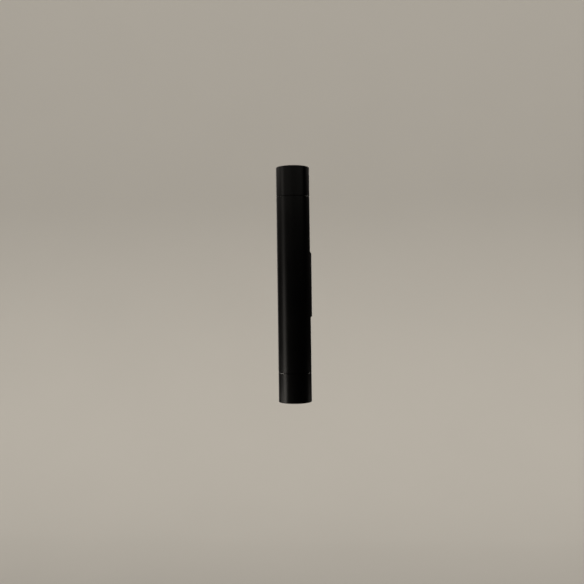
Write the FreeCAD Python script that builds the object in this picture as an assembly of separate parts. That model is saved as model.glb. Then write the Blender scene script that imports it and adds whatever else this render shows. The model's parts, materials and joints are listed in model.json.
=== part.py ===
import FreeCAD, Part
import math
import os

# Tube wall light: a round black tube that stands upright on a wall and lights it up and down.
#
# All sizes are in millimetres. The origin is the centre of the wall face. The wall is the
# plane Y = 0, the light stands out from it towards -Y, and +Z is up. The tube's own axis is
# upright at X = 0, Y = AXIS_Y. The lower end is the upper end turned over about the Y axis.

V = FreeCAD.Vector
UP = V(0, 0, 1)
TO_WALL = V(0, 1, 0)
SIDEWAYS = V(1, 0, 0)

# ---- driving dimensions: tube and sleeves ----
TUBE_R = 30.0
TUBE_WALL = 2.5
TOTAL_LENGTH = 425.0
SLEEVE_LENGTH = 54.0
AXIS_Y = -60.0
SEAM_GAP = 0.8
SEAM_CHAMFER = 0.3
RIM_CHAMFER = 0.6

# ---- sleeve, with its thread, lip and glass ----
THREAD_R = 28.4
THREAD_LENGTH = 10.0
THREAD_CLEARANCE = 0.1
THREAD_RUNOUT = 0.3
NOSE_CHAMFER = 0.5
LIP_THICKNESS = 2.0
LIP_INNER_R = 26.0
GLASS_R = 27.2
GLASS_THICKNESS = 3.0
GASKET_THICKNESS = 0.5
GASKET_INNER_R = 26.2
STACK_GAP = 0.1
RING_OUTER_R = 28.2
RING_INNER_R = 26.6
RING_THICKNESS = 1.2
RING_GROOVE_R = 28.3
RING_OPENING_DEG = 20.0

# ---- collar pressed into the tube's end ----
COLLAR_DEPTH = 12.0
COLLAR_BORE_R = 26.2
COLLAR_FLANGE_THICKNESS = 2.0
COLLAR_FLANGE_INNER_R = 20.0

# ---- lamp, 50 mm across, with two pins ----
LAMP_FACE_DEPTH = 10.5
LAMP_R = 25.0
LAMP_HEIGHT = 49.6
LAMP_RIM = 1.6
LAMP_RIM_DROP = 0.2
LAMP_LENS_R = 23.0
LAMP_LENS_THICKNESS = 2.0
LAMP_LENS_SUNK = 0.4
LAMP_LENS_LEDGE = 1.5
LAMP_HOLLOW_DEPTH = 4.0
LAMP_BASE_R = 9.6
LAMP_BASE_HEIGHT = 6.0
LAMP_NECK_R = 11.5
LAMP_NECK_HEIGHT = 7.5
LAMP_WAIST_R = 16.6
LAMP_WAIST_HEIGHT = 22.0
LAMP_SHOULDER_STEP = 0.6
LAMP_SHOULDER_DEPTH = 8.5
LAMP_BAND_DEPTH = 8.0
LAMP_FACE_ROUND = 0.5
PIN_RADIUS_OF_CIRCLE = 5.0
PIN_STEM_R = 1.3
PIN_STEM_LENGTH = 3.8
PIN_STEM_SUNK = 2.0
PIN_HEAD_R = 2.4
PIN_HEAD_LENGTH = 3.2
LAMP_TWIST_DEG = 25.0

# ---- lampholder ----
HOLDER_R = 13.5
HOLDER_HEIGHT = 20.0
HOLDER_TO_LAMP = 0.4
HOLDER_TOP_PLATE = 3.0
HOLDER_POCKET_DEPTH = 5.5
HOLDER_POCKET_INNER_R = 1.9
HOLDER_POCKET_OUTER_R = 8.1
HOLDER_POCKET_MARGIN_DEG = 38.0
KEYHOLE_STEM_R = 1.65
KEYHOLE_ENTRY_R = 2.75
HOLDER_SCREW_X = 10.6
HOLDER_WIRE_R = 1.4
HOLDER_EDGE = 0.6
CONTACT_THICKNESS = 0.6
CONTACT_GAP = 0.3
CONTACT_MARGIN = 0.4
CONTACT_CRIMP_R = 1.1
CONTACT_CRIMP_BORE_R = 0.6
CONTACT_CRIMP_LENGTH = 8.0

# ---- strap that carries the lampholder ----
STRAP_WIDTH = 20.0
STRAP_THICKNESS = 1.5
STRAP_LEG_X = 20.0
STRAP_FOOT_X = 26.5
STRAP_CLEAR_R = 27.2
STRAP_SCREW_X = 23.4
STRAP_SLOT_HALF_X = 2.5
STRAP_SLOT_HALF_Y = 7.0
STRAP_BEND_R = 1.0

# ---- box between tube and wall ----
BOX_WIDTH = 60.0
BOX_HEIGHT = 120.0
BOX_WALL = 3.0
BOX_WALL_GAP = 0.5
BOX_EDGE_R = 0.8
BOSS_FACE_Y = -26.5
BOSS_R = 5.0
SADDLE_SCREW_Z = 50.0
GROMMET_Z = 38.0
GROMMET_PAD_R = 8.5
BLOCK_PAD_HALF_X = 13.0
BLOCK_PAD_HALF_Z = 6.5

# ---- clamp plate inside the tube ----
CLAMP_THICKNESS = 3.0
CLAMP_HALF_X = 10.0
CLAMP_HALF_Z = 57.0
CLAMP_GROMMET_HOLE_R = 8.0

# ---- grommet between box and tube, and the bush in the bracket ----
GROMMET_HOLE_R = 6.0
GROMMET_BORE_R = 3.75
GROMMET_FLANGE_R = 7.5
GROMMET_LIP_R = 7.0
GROMMET_LIP_Y = -33.45
GROMMET_FLANGE = 1.5
BUSH_HOLE_R = 6.0
BUSH_BORE_R = 4.5
BUSH_FLANGE_R = 7.5
BUSH_FLANGE = 1.5
BUSH_BACK_GAP = 0.2

# ---- terminal strip ----
BLOCK_Z = 6.5
BLOCK_HALF_X = 15.5
BLOCK_HALF_Z = 8.5
BLOCK_BASE_Y = -24.0
BLOCK_TOP_Y = -11.5
POLE_PITCH = 10.0
BARREL_Y = -18.5
BARREL_R = 2.75
BARREL_BORE_R = 1.9
BARREL_HALF_LENGTH = 7.0
POLE_ENTRY_R = 2.3
POLE_SCREW_OFFSET_Z = 4.0
POLE_SCREW_HEAD_R = 1.9
POLE_SCREW_HEAD_BASE_Y = -14.5
POLE_SCREW_HEAD = 1.8
POLE_SCREW_TIP_Y = -18.0
BLOCK_SCREW_X = 5.0
BLOCK_SCREW_END_Y = -29.0
BLOCK_EDGE = 0.6

# ---- wall bracket ----
BRACKET_THICKNESS = 2.0
BRACKET_HALF_WIDTH = 22.0
BRACKET_HALF_HEIGHT = 50.0
BRACKET_CORNER_R = 3.0
EAR_HALF_WIDTH = 12.0
EAR_REACH = 14.0
EAR_OUTER_Z = 55.9
EAR_BEND_R = 1.0
EAR_CORNER_R = 2.0
WALL_SLOT_Z = 30.0
WALL_SLOT_WIDTH = 4.5
WALL_SLOT_LENGTH = 10.0
GRUB_SCREW_Y = -8.0
EARTH_SCREW_X = 7.0

# ---- screws, by thread size ----
M3_R = 1.5
M3_HOLE_R = 1.6
M3_HEAD_R = 2.7
M3_HEAD = 1.8
M4_R = 2.0
M4_HOLE_R = 2.2
M4_HEAD_R = 3.5
M4_HEAD = 2.4
SLOT_WIDTH = 0.8
SLOT_DEPTH = 0.9
GRUB_SOCKET_ACROSS_FLATS = 2.0
GRUB_SOCKET_DEPTH = 2.0
GRUB_TIP_GAP = 0.1
HEAD_CLEARANCE = 0.1
SCREW_STANDOUT = 1.0
EARTH_SCREW_STANDOUT = 0.4
WASHER_R = 4.5
WASHER_THICKNESS = 0.8

# ---- leads ----
LEAD_R = 1.1
CONDUCTOR_R = 0.5
LEAD_PAIR_OFFSET = 1.25
BUNDLE_OFFSET = 1.5
BUNDLE_Y = -46.0
LEAD_ARM = 0.45
LEAD_RISE = 3.0
EARTH_LEAD_RISE = 7.0
LEAD_STRAIGHT_RUN = 22.0
LEAD_IN_HOLDER = 1.5
STRIPPED_LENGTH = 5.0
LEAD_END_GAP = 0.2
TAG_R = 4.0
TAG_THICKNESS = 0.8
TAG_CRIMP_R = 1.4
TAG_CRIMP_Y = -25.0
TAG_CRIMP_START_X = 5.4
TAG_CRIMP_END_X = 9.4

# ---- how far a cutting tool or a joined piece reaches past the face it meets ----
REACH = 1.0

# ---- heights worked out from the driving dimensions ----
HALF_LENGTH = TOTAL_LENGTH / 2
SEAM_Z = HALF_LENGTH - SLEEVE_LENGTH
BORE_R = TUBE_R - TUBE_WALL
COLLAR_FOOT_Z = SEAM_Z - COLLAR_DEPTH
THREAD_TOP_Z = SEAM_Z + THREAD_LENGTH
LIP_Z = HALF_LENGTH - LIP_THICKNESS
GASKET_TOP_Z = LIP_Z - STACK_GAP
GLASS_TOP_Z = GASKET_TOP_Z - GASKET_THICKNESS
GLASS_BOTTOM_Z = GLASS_TOP_Z - GLASS_THICKNESS
RING_TOP_Z = GLASS_BOTTOM_Z - STACK_GAP
RING_BOTTOM_Z = RING_TOP_Z - RING_THICKNESS
LAMP_FACE_Z = HALF_LENGTH - LAMP_FACE_DEPTH
LAMP_BASE_Z = LAMP_FACE_Z - LAMP_HEIGHT
PIN_HEAD_TOP_Z = LAMP_BASE_Z - PIN_STEM_LENGTH
PIN_HEAD_END_Z = PIN_HEAD_TOP_Z - PIN_HEAD_LENGTH
HOLDER_TOP_Z = LAMP_BASE_Z - HOLDER_TO_LAMP
HOLDER_FOOT_Z = HOLDER_TOP_Z - HOLDER_HEIGHT
POCKET_TOP_Z = HOLDER_TOP_Z - HOLDER_TOP_PLATE
POCKET_FLOOR_Z = POCKET_TOP_Z - HOLDER_POCKET_DEPTH
CONTACT_TOP_Z = PIN_HEAD_END_Z - CONTACT_GAP
CONTACT_BOTTOM_Z = CONTACT_TOP_Z - CONTACT_THICKNESS
TUBE_BACK_Y = AXIS_Y + TUBE_R
SADDLE_INNER_R = TUBE_R + BOX_WALL
BOX_INNER_HALF_X = BOX_WIDTH / 2 - BOX_WALL
BOX_INNER_HALF_Z = BOX_HEIGHT / 2 - BOX_WALL
BOX_FRONT_Y = AXIS_Y + math.sqrt(TUBE_R ** 2 - BOX_INNER_HALF_X ** 2)
CLAMP_INNER_R = BORE_R - CLAMP_THICKNESS
CLAMP_BACK_Y = AXIS_Y + CLAMP_INNER_R
POLE_ENTRY_Z = BLOCK_Z + BLOCK_HALF_Z + LEAD_END_GAP
PIN_BACK_Y = AXIS_Y + PIN_RADIUS_OF_CIRCLE
PIN_FRONT_Y = AXIS_Y - PIN_RADIUS_OF_CIRCLE


# ---- small shapes ----

def block(x_low, x_high, y_low, y_high, z_low, z_high):
    """A box between the given limits."""
    return Part.makeBox(x_high - x_low, y_high - y_low, z_high - z_low, V(x_low, y_low, z_low))


def upright(radius, z_low, z_high, x=0.0, y=AXIS_Y):
    """A round bar along Z. It stands on the tube's axis unless x and y say otherwise."""
    return Part.makeCylinder(radius, z_high - z_low, V(x, y, z_low), UP)


def crosswise(radius, y_low, y_high, x, z):
    """A round bar along Y, square to the wall."""
    return Part.makeCylinder(radius, y_high - y_low, V(x, y_low, z), TO_WALL)


def ring(outer_r, inner_r, z_low, z_high):
    """A plain ring about the tube's axis."""
    return upright(outer_r, z_low, z_high).cut(upright(inner_r, z_low, z_high))


def hexagon(across_flats, z_low, z_high, x, y):
    """A six-sided bar along Z."""
    corner_r = across_flats / math.sqrt(3)
    corners = []
    for side in range(7):
        angle = math.radians(60 * side)
        corners.append(V(x + corner_r * math.cos(angle), y + corner_r * math.sin(angle), z_low))
    face = Part.Face(Part.makePolygon(corners))
    return face.extrude(V(0, 0, z_high - z_low))


def turned(outline, sweep_deg=360.0, start_deg=0.0):
    """A solid turned about the tube's axis from a closed outline of (radius, z) points."""
    corners = [V(radius, AXIS_Y, z) for radius, z in outline]
    face = Part.Face(Part.makePolygon(corners + corners[:1]))
    face.rotate(V(0, AXIS_Y, 0), UP, start_deg)
    return face.revolve(V(0, AXIS_Y, 0), UP, sweep_deg)


def turned_square_to_wall(outline, x, z):
    """A solid turned about a line along Y from a closed outline of (radius, y) points."""
    corners = [V(x + radius, y, z) for radius, y in outline]
    face = Part.Face(Part.makePolygon(corners + corners[:1]))
    return face.revolve(V(x, 0, z), TO_WALL, 360)


def fuse_all(shapes):
    """One solid from several that touch or overlap."""
    return shapes[0].multiFuse(shapes[1:]).removeSplitter()


def cut_all(shape, tools):
    """The shape with every tool taken out of it."""
    return shape.cut(tools).removeSplitter()


def group(shapes):
    """Separate solids that share one node."""
    return Part.makeCompound(shapes)


def edges_along(shape, direction):
    """The straight edges of a shape that run along a direction."""
    chosen = []
    for edge in shape.Edges:
        if edge.Curve.TypeId != "Part::GeomLine":
            continue
        tangent = edge.tangentAt(edge.FirstParameter)
        if abs(abs(tangent.dot(direction)) - 1) < 1e-6:
            chosen.append(edge)
    return chosen


def turn_over(shape):
    """The same piece at the other end: half a turn about the Y axis."""
    copy = shape.copy()
    copy.rotate(V(0, 0, 0), TO_WALL, 180)
    return copy


# ---- screws ----

def screw_across(x, z, head_base_y, tip_y, shaft_r, head_r, head):
    """A slotted screw along Y whose head faces the wall."""
    head_top_y = head_base_y + head
    body = fuse_all([
        crosswise(shaft_r, tip_y, head_base_y, x, z),
        crosswise(head_r, head_base_y, head_top_y, x, z),
    ])
    slot = block(x - head_r, x + head_r, head_top_y - SLOT_DEPTH, head_top_y + REACH,
                 z - SLOT_WIDTH / 2, z + SLOT_WIDTH / 2)
    return body.cut(slot)


def screw_upright(x, y, head_base_z, tip_z, shaft_r, head_r, head):
    """A slotted screw along Z whose head is at the top."""
    head_top_z = head_base_z + head
    body = fuse_all([
        upright(shaft_r, tip_z, head_base_z, x, y),
        upright(head_r, head_base_z, head_top_z, x, y),
    ])
    slot = block(x - head_r, x + head_r, y - SLOT_WIDTH / 2, y + SLOT_WIDTH / 2,
                 head_top_z - SLOT_DEPTH, head_top_z + REACH)
    return body.cut(slot)


def grub_screw():
    """The upper grub screw. Its flat tip bears on the bracket's ear."""
    tip_z = EAR_OUTER_Z + GRUB_TIP_GAP
    top_z = BOX_HEIGHT / 2
    body = upright(M4_R, tip_z, top_z, 0, GRUB_SCREW_Y)
    socket = hexagon(GRUB_SOCKET_ACROSS_FLATS, top_z - GRUB_SOCKET_DEPTH, top_z, 0, GRUB_SCREW_Y)
    return body.cut(socket)


# ---- wall side ----

def wall_slot(z):
    """An upright slot through the bracket for a wall screw."""
    radius = WALL_SLOT_WIDTH / 2
    half_run = WALL_SLOT_LENGTH / 2 - radius
    front_y = -BRACKET_THICKNESS - REACH
    return fuse_all([
        block(-radius, radius, front_y, REACH, z - half_run, z + half_run),
        crosswise(radius, front_y, REACH, 0, z - half_run),
        crosswise(radius, front_y, REACH, 0, z + half_run),
    ])


def folded_strip():
    """The middle strip of the bracket, folded forwards into an ear at the top and bottom."""
    outer_r = EAR_BEND_R + BRACKET_THICKNESS
    inner_z = EAR_OUTER_Z - BRACKET_THICKNESS
    outer = block(-EAR_HALF_WIDTH, EAR_HALF_WIDTH, -EAR_REACH, 0, -EAR_OUTER_Z, EAR_OUTER_Z)
    outer_bends = [e for e in edges_along(outer, SIDEWAYS) if e.CenterOfMass.y > -REACH]
    outer = outer.makeFillet(outer_r, outer_bends)
    inner = block(-EAR_HALF_WIDTH, EAR_HALF_WIDTH, -EAR_REACH - REACH, -BRACKET_THICKNESS,
                  -inner_z, inner_z)
    inner_bends = [e for e in edges_along(inner, SIDEWAYS)
                   if e.CenterOfMass.y > -BRACKET_THICKNESS - REACH]
    inner = inner.makeFillet(EAR_BEND_R, inner_bends)
    strip = outer.cut(inner)
    ear_corners = [e for e in edges_along(strip, UP) if e.CenterOfMass.y < -EAR_REACH + REACH]
    return strip.makeFillet(EAR_CORNER_R, ear_corners)


def wall_bracket():
    """Folded steel plate with two upright slots, a cable hole and a tapped hole for earth."""
    plate = block(-BRACKET_HALF_WIDTH, BRACKET_HALF_WIDTH, -BRACKET_THICKNESS, 0,
                  -BRACKET_HALF_HEIGHT, BRACKET_HALF_HEIGHT)
    plate = plate.makeFillet(BRACKET_CORNER_R, edges_along(plate, TO_WALL))
    body = fuse_all([plate, folded_strip()])
    holes = [
        wall_slot(WALL_SLOT_Z),
        wall_slot(-WALL_SLOT_Z),
        crosswise(BUSH_HOLE_R, -BRACKET_THICKNESS - REACH, REACH, 0, 0),
        upright(M4_R, -EAR_OUTER_Z - REACH, -EAR_OUTER_Z + BRACKET_THICKNESS + REACH,
                EARTH_SCREW_X, GRUB_SCREW_Y),
    ]
    return cut_all(body, holes)


def cable_bush():
    """Flanged bush that lines the bracket's cable hole."""
    front_y = -BRACKET_THICKNESS
    return turned_square_to_wall([
        (BUSH_BORE_R, front_y - BUSH_FLANGE),
        (BUSH_FLANGE_R, front_y - BUSH_FLANGE),
        (BUSH_FLANGE_R, front_y),
        (BUSH_HOLE_R, front_y),
        (BUSH_HOLE_R, -BUSH_BACK_GAP),
        (BUSH_BORE_R, -BUSH_BACK_GAP),
    ], 0, 0)


def earth_washer():
    """Washer on the inner face of the lower ear."""
    seat_z = -EAR_OUTER_Z + BRACKET_THICKNESS
    disc = upright(WASHER_R, seat_z, seat_z + WASHER_THICKNESS, EARTH_SCREW_X, GRUB_SCREW_Y)
    hole = upright(M4_HOLE_R, seat_z, seat_z + WASHER_THICKNESS, EARTH_SCREW_X, GRUB_SCREW_Y)
    return disc.cut(hole)


def earth_screw():
    """Screw that clamps the supply's earth wire to the lower ear."""
    head_base_z = -EAR_OUTER_Z + BRACKET_THICKNESS + WASHER_THICKNESS
    return screw_upright(EARTH_SCREW_X, GRUB_SCREW_Y, head_base_z, -EAR_OUTER_Z - EARTH_SCREW_STANDOUT,
                         M4_R, M4_HEAD_R, M4_HEAD)


# ---- box and tube ----

def mount_box():
    """Open-backed box whose front is hollowed to fit round the back of the tube."""
    half_x = BOX_WIDTH / 2
    half_z = BOX_HEIGHT / 2
    outer = block(-half_x, half_x, BOX_FRONT_Y, -BOX_WALL_GAP, -half_z, half_z)
    outer = outer.makeFillet(BOX_EDGE_R, edges_along(outer, TO_WALL))
    inside = block(-BOX_INNER_HALF_X, BOX_INNER_HALF_X, BOX_FRONT_Y, REACH,
                   -BOX_INNER_HALF_Z, BOX_INNER_HALF_Z)
    inside = inside.cut(upright(SADDLE_INNER_R, -half_z, half_z))
    shell = outer.cut(inside)
    pads = [
        crosswise(BOSS_R, TUBE_BACK_Y, BOSS_FACE_Y, 0, SADDLE_SCREW_Z),
        crosswise(BOSS_R, TUBE_BACK_Y, BOSS_FACE_Y, 0, -SADDLE_SCREW_Z),
        crosswise(GROMMET_PAD_R, TUBE_BACK_Y, BOSS_FACE_Y, 0, GROMMET_Z),
        block(-BLOCK_PAD_HALF_X, BLOCK_PAD_HALF_X, TUBE_BACK_Y - BOX_WALL, BLOCK_BASE_Y,
              BLOCK_Z - BLOCK_PAD_HALF_Z, BLOCK_Z + BLOCK_PAD_HALF_Z),
    ]
    body = fuse_all([shell] + pads)
    grub_hole = upright(M4_R, BOX_INNER_HALF_Z - REACH, half_z + REACH, 0, GRUB_SCREW_Y)
    holes = [
        upright(TUBE_R, -half_z - REACH, half_z + REACH),
        crosswise(M4_HOLE_R, AXIS_Y, 0, 0, SADDLE_SCREW_Z),
        crosswise(M4_HOLE_R, AXIS_Y, 0, 0, -SADDLE_SCREW_Z),
        crosswise(GROMMET_HOLE_R, AXIS_Y, 0, 0, GROMMET_Z),
        crosswise(M3_R, BLOCK_SCREW_END_Y, 0, BLOCK_SCREW_X, BLOCK_Z),
        crosswise(M3_R, BLOCK_SCREW_END_Y, 0, -BLOCK_SCREW_X, BLOCK_Z),
        grub_hole,
        turn_over(grub_hole),
    ]
    return cut_all(body, holes)


def body_tube():
    """The long middle tube, with two screw holes and the lead hole at its back."""
    end = SEAM_Z
    chamfer = SEAM_CHAMFER
    tube = turned([
        (BORE_R, -end),
        (TUBE_R - chamfer, -end),
        (TUBE_R, -end + chamfer),
        (TUBE_R, end - chamfer),
        (TUBE_R - chamfer, end),
        (BORE_R, end),
    ])
    holes = [
        crosswise(M4_HOLE_R, AXIS_Y, 0, 0, SADDLE_SCREW_Z),
        crosswise(M4_HOLE_R, AXIS_Y, 0, 0, -SADDLE_SCREW_Z),
        crosswise(GROMMET_HOLE_R, AXIS_Y, 0, 0, GROMMET_Z),
    ]
    return cut_all(tube, holes)


def clamp_plate():
    """Curved plate inside the tube, tapped for the two screws that hold the tube to its box."""
    shell = ring(BORE_R, CLAMP_INNER_R, -CLAMP_HALF_Z, CLAMP_HALF_Z)
    strip = block(-CLAMP_HALF_X, CLAMP_HALF_X, AXIS_Y, 0, -CLAMP_HALF_Z, CLAMP_HALF_Z)
    plate = shell.common(strip)
    holes = [
        crosswise(M4_R, AXIS_Y, 0, 0, SADDLE_SCREW_Z),
        crosswise(M4_R, AXIS_Y, 0, 0, -SADDLE_SCREW_Z),
        crosswise(CLAMP_GROMMET_HOLE_R, AXIS_Y, 0, 0, GROMMET_Z),
    ]
    return cut_all(plate, holes)


def saddle_screws():
    """The two screws from the box into the clamp plate. The upper one also holds the earth tag."""
    tip_y = CLAMP_BACK_Y - SCREW_STANDOUT
    upper = screw_across(0, SADDLE_SCREW_Z, BOSS_FACE_Y + TAG_THICKNESS, tip_y,
                         M4_R, M4_HEAD_R, M4_HEAD)
    lower = screw_across(0, -SADDLE_SCREW_Z, BOSS_FACE_Y, tip_y - TAG_THICKNESS,
                         M4_R, M4_HEAD_R, M4_HEAD)
    return group([upper, lower])


def lead_grommet():
    """Soft grommet through the box and the tube's wall."""
    return turned_square_to_wall([
        (GROMMET_BORE_R, BOSS_FACE_Y + GROMMET_FLANGE),
        (GROMMET_FLANGE_R, BOSS_FACE_Y + GROMMET_FLANGE),
        (GROMMET_FLANGE_R, BOSS_FACE_Y),
        (GROMMET_HOLE_R, BOSS_FACE_Y),
        (GROMMET_HOLE_R, GROMMET_LIP_Y),
        (GROMMET_LIP_R, GROMMET_LIP_Y),
        (GROMMET_LIP_R, GROMMET_LIP_Y - GROMMET_FLANGE),
        (GROMMET_BORE_R, GROMMET_LIP_Y - GROMMET_FLANGE),
    ], 0, GROMMET_Z)


def earth_tag():
    """Ring tag with a crimp barrel, under the head of the upper saddle screw."""
    low_y = BOSS_FACE_Y
    high_y = BOSS_FACE_Y + TAG_THICKNESS
    z = SADDLE_SCREW_Z
    tag = fuse_all([
        crosswise(TAG_R, low_y, high_y, 0, z),
        block(0, TAG_CRIMP_END_X, low_y, high_y, z - TAG_CRIMP_R, z + TAG_CRIMP_R),
        Part.makeCylinder(TAG_CRIMP_R, TAG_CRIMP_END_X - TAG_CRIMP_START_X,
                          V(TAG_CRIMP_START_X, TAG_CRIMP_Y, z), SIDEWAYS),
    ])
    holes = [
        crosswise(M4_HOLE_R, low_y, high_y, 0, z),
        Part.makeCylinder(CONDUCTOR_R, TAG_CRIMP_END_X - TAG_CRIMP_START_X,
                          V(TAG_CRIMP_START_X, TAG_CRIMP_Y, z), SIDEWAYS),
    ]
    return cut_all(tag, holes)


# ---- terminal strip ----

def pole_places():
    """The X of each pole: live, neutral and earth."""
    return [-POLE_PITCH, 0.0, POLE_PITCH]


def pole_screw_places():
    """The X and Z of every wire screw, two to a pole."""
    places = []
    for x in pole_places():
        places.append((x, BLOCK_Z - POLE_SCREW_OFFSET_Z))
        places.append((x, BLOCK_Z + POLE_SCREW_OFFSET_Z))
    return places


def terminal_block():
    """Moulded strip with three poles, open at the top over each screw and at both wire ends."""
    body = block(-BLOCK_HALF_X, BLOCK_HALF_X, BLOCK_BASE_Y, BLOCK_TOP_Y,
                 BLOCK_Z - BLOCK_HALF_Z, BLOCK_Z + BLOCK_HALF_Z)
    body = body.makeFillet(BLOCK_EDGE, edges_along(body, TO_WALL))
    tools = []
    for x in pole_places():
        tools.append(upright(BARREL_R, BLOCK_Z - BARREL_HALF_LENGTH, BLOCK_Z + BARREL_HALF_LENGTH,
                             x, BARREL_Y))
        tools.append(upright(POLE_ENTRY_R, BLOCK_Z - BLOCK_HALF_Z, BLOCK_Z + BLOCK_HALF_Z,
                             x, BARREL_Y))
    for x, z in pole_screw_places():
        tools.append(crosswise(POLE_SCREW_HEAD_R + HEAD_CLEARANCE, BARREL_Y, BLOCK_TOP_Y, x, z))
    for x in (-BLOCK_SCREW_X, BLOCK_SCREW_X):
        tools.append(crosswise(M3_HOLE_R, BLOCK_BASE_Y, BLOCK_TOP_Y, x, BLOCK_Z))
        tools.append(crosswise(M3_HEAD_R + HEAD_CLEARANCE, POLE_SCREW_HEAD_BASE_Y, BLOCK_TOP_Y, x, BLOCK_Z))
    return cut_all(body, tools)


def terminal_barrels():
    """Three brass barrels, each bored along Z and tapped for two screws."""
    low_z = BLOCK_Z - BARREL_HALF_LENGTH
    high_z = BLOCK_Z + BARREL_HALF_LENGTH
    taps = [crosswise(M3_R, BARREL_Y, BLOCK_TOP_Y, x, z) for x, z in pole_screw_places()]
    barrels = []
    for x in pole_places():
        barrel = upright(BARREL_R, low_z, high_z, x, BARREL_Y)
        bore = upright(BARREL_BORE_R, low_z, high_z, x, BARREL_Y)
        barrels.append(barrel.cut([bore] + taps))
    return group(barrels)


def terminal_screws():
    """The six wire screws of the strip."""
    screws = []
    for x, z in pole_screw_places():
        screws.append(screw_across(x, z, POLE_SCREW_HEAD_BASE_Y, POLE_SCREW_TIP_Y,
                                   M3_R, POLE_SCREW_HEAD_R, POLE_SCREW_HEAD))
    return group(screws)


def block_screws():
    """The two screws that hold the strip to its pad in the box."""
    screws = []
    for x in (-BLOCK_SCREW_X, BLOCK_SCREW_X):
        screws.append(screw_across(x, BLOCK_Z, POLE_SCREW_HEAD_BASE_Y, BLOCK_SCREW_END_Y,
                                   M3_R, M3_HEAD_R, M3_HEAD))
    return group(screws)


# ---- leads ----

def lead_route(name, points):
    """A path of straight runs joined by tangent arcs, each as large as its two runs allow."""
    edges = []
    radii = []
    start = points[0]
    for before, corner, after in zip(points, points[1:], points[2:]):
        run_in = corner - before
        run_out = after - corner
        arm = LEAD_ARM * min(run_in.Length, run_out.Length)
        run_in.normalize()
        run_out.normalize()
        turn = math.acos(max(-1.0, min(1.0, run_in.dot(run_out))))
        radius = arm / math.tan(turn / 2)
        inwards = run_out - run_in
        inwards.normalize()
        arc_start = corner - run_in * arm
        arc_end = corner + run_out * arm
        arc_middle = corner + inwards * (radius / math.cos(turn / 2) - radius)
        edges.append(Part.LineSegment(start, arc_start).toShape())
        edges.append(Part.Arc(arc_start, arc_middle, arc_end).toShape())
        radii.append(round(radius, 1))
        start = arc_end
    edges.append(Part.LineSegment(start, points[-1]).toShape())
    print(name, "bend radii", radii)
    return Part.Wire(edges)


def lead(name, points):
    """An insulated lead along the points, with a bare end at each end of the route."""
    route = lead_route(name, points)
    first = points[1] - points[0]
    last = points[-1] - points[-2]
    first.normalize()
    last.normalize()
    section = Part.Wire([Part.makeCircle(LEAD_R, points[0], first)])
    insulation = route.makePipeShell([section], True, False)
    wanted = math.pi * LEAD_R ** 2 * route.Length
    print(name, "length", round(route.Length, 1), "volume ratio", round(insulation.Volume / wanted, 4))
    bare_start = Part.makeCylinder(CONDUCTOR_R, STRIPPED_LENGTH + REACH,
                                   points[0] - first * STRIPPED_LENGTH, first)
    bare_end = Part.makeCylinder(CONDUCTOR_R, STRIPPED_LENGTH + REACH,
                                 points[-1] - last * REACH, last)
    return fuse_all([insulation, bare_start, bare_end])


def from_pole(x, rise, middle, corner):
    """The start of a lamp lead: up out of its pole, then through the grommet into the tube."""
    return [
        V(x, BARREL_Y, POLE_ENTRY_Z),
        V(x, BARREL_Y, POLE_ENTRY_Z + rise),
        middle,
        corner,
        V(corner.x, BUNDLE_Y, corner.z),
    ]


def into_holder(pin_y, sign):
    """The end of a lamp lead: straight into the back of the holder above or below."""
    return [
        V(0, pin_y, sign * (HOLDER_FOOT_Z - LEAD_STRAIGHT_RUN)),
        V(0, pin_y, sign * (HOLDER_FOOT_Z + LEAD_IN_HOLDER)),
    ]


def leads():
    """The four lamp leads and the earth lead, by node name."""
    upper_z = GROMMET_Z + BUNDLE_OFFSET
    lower_z = GROMMET_Z - BUNDLE_OFFSET
    left_x = -BUNDLE_OFFSET
    right_x = BUNDLE_OFFSET
    live_x, neutral_x, earth_x = pole_places()
    beside = LEAD_PAIR_OFFSET
    routes = {
        "upper_live_lead": from_pole(live_x - beside, LEAD_RISE, V(-10.2, -17.0, 23.0),
                                     V(left_x, -13.5, upper_z))
        + [V(-4.0, -49.0, 76.0)]
        + into_holder(PIN_BACK_Y, 1),
        "upper_neutral_lead": from_pole(neutral_x + beside, LEAD_RISE, V(1.4, -17.0, 23.0),
                                        V(right_x, -13.5, upper_z))
        + [V(6.0, -53.0, 74.0)]
        + into_holder(PIN_FRONT_Y, 1),
        "lower_live_lead": from_pole(live_x + beside, LEAD_RISE, V(-7.8, -19.8, 22.0),
                                     V(left_x, -18.7, lower_z))
        + [V(-6.0, -50.0, -4.0), V(-3.0, -47.0, -48.0), V(-5.0, -52.0, -84.0)]
        + into_holder(PIN_BACK_Y, -1),
        "lower_neutral_lead": from_pole(neutral_x - beside, LEAD_RISE, V(-0.6, -19.8, 22.0),
                                        V(right_x, -18.7, lower_z))
        + [V(5.0, -53.0, 0.0), V(2.0, -58.0, -42.0), V(6.0, -60.0, -80.0)]
        + into_holder(PIN_FRONT_Y, -1),
        "earth_lead": [
            V(earth_x, BARREL_Y, POLE_ENTRY_Z),
            V(earth_x, BARREL_Y, POLE_ENTRY_Z + EARTH_LEAD_RISE),
            V(20.0, -21.0, 34.0),
            V(23.5, TAG_CRIMP_Y, SADDLE_SCREW_Z),
            V(TAG_CRIMP_END_X + LEAD_END_GAP, TAG_CRIMP_Y, SADDLE_SCREW_Z),
        ],
    }
    return {name: lead(name, points) for name, points in routes.items()}


# ---- one end of the tube, drawn for the upper end ----

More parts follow.
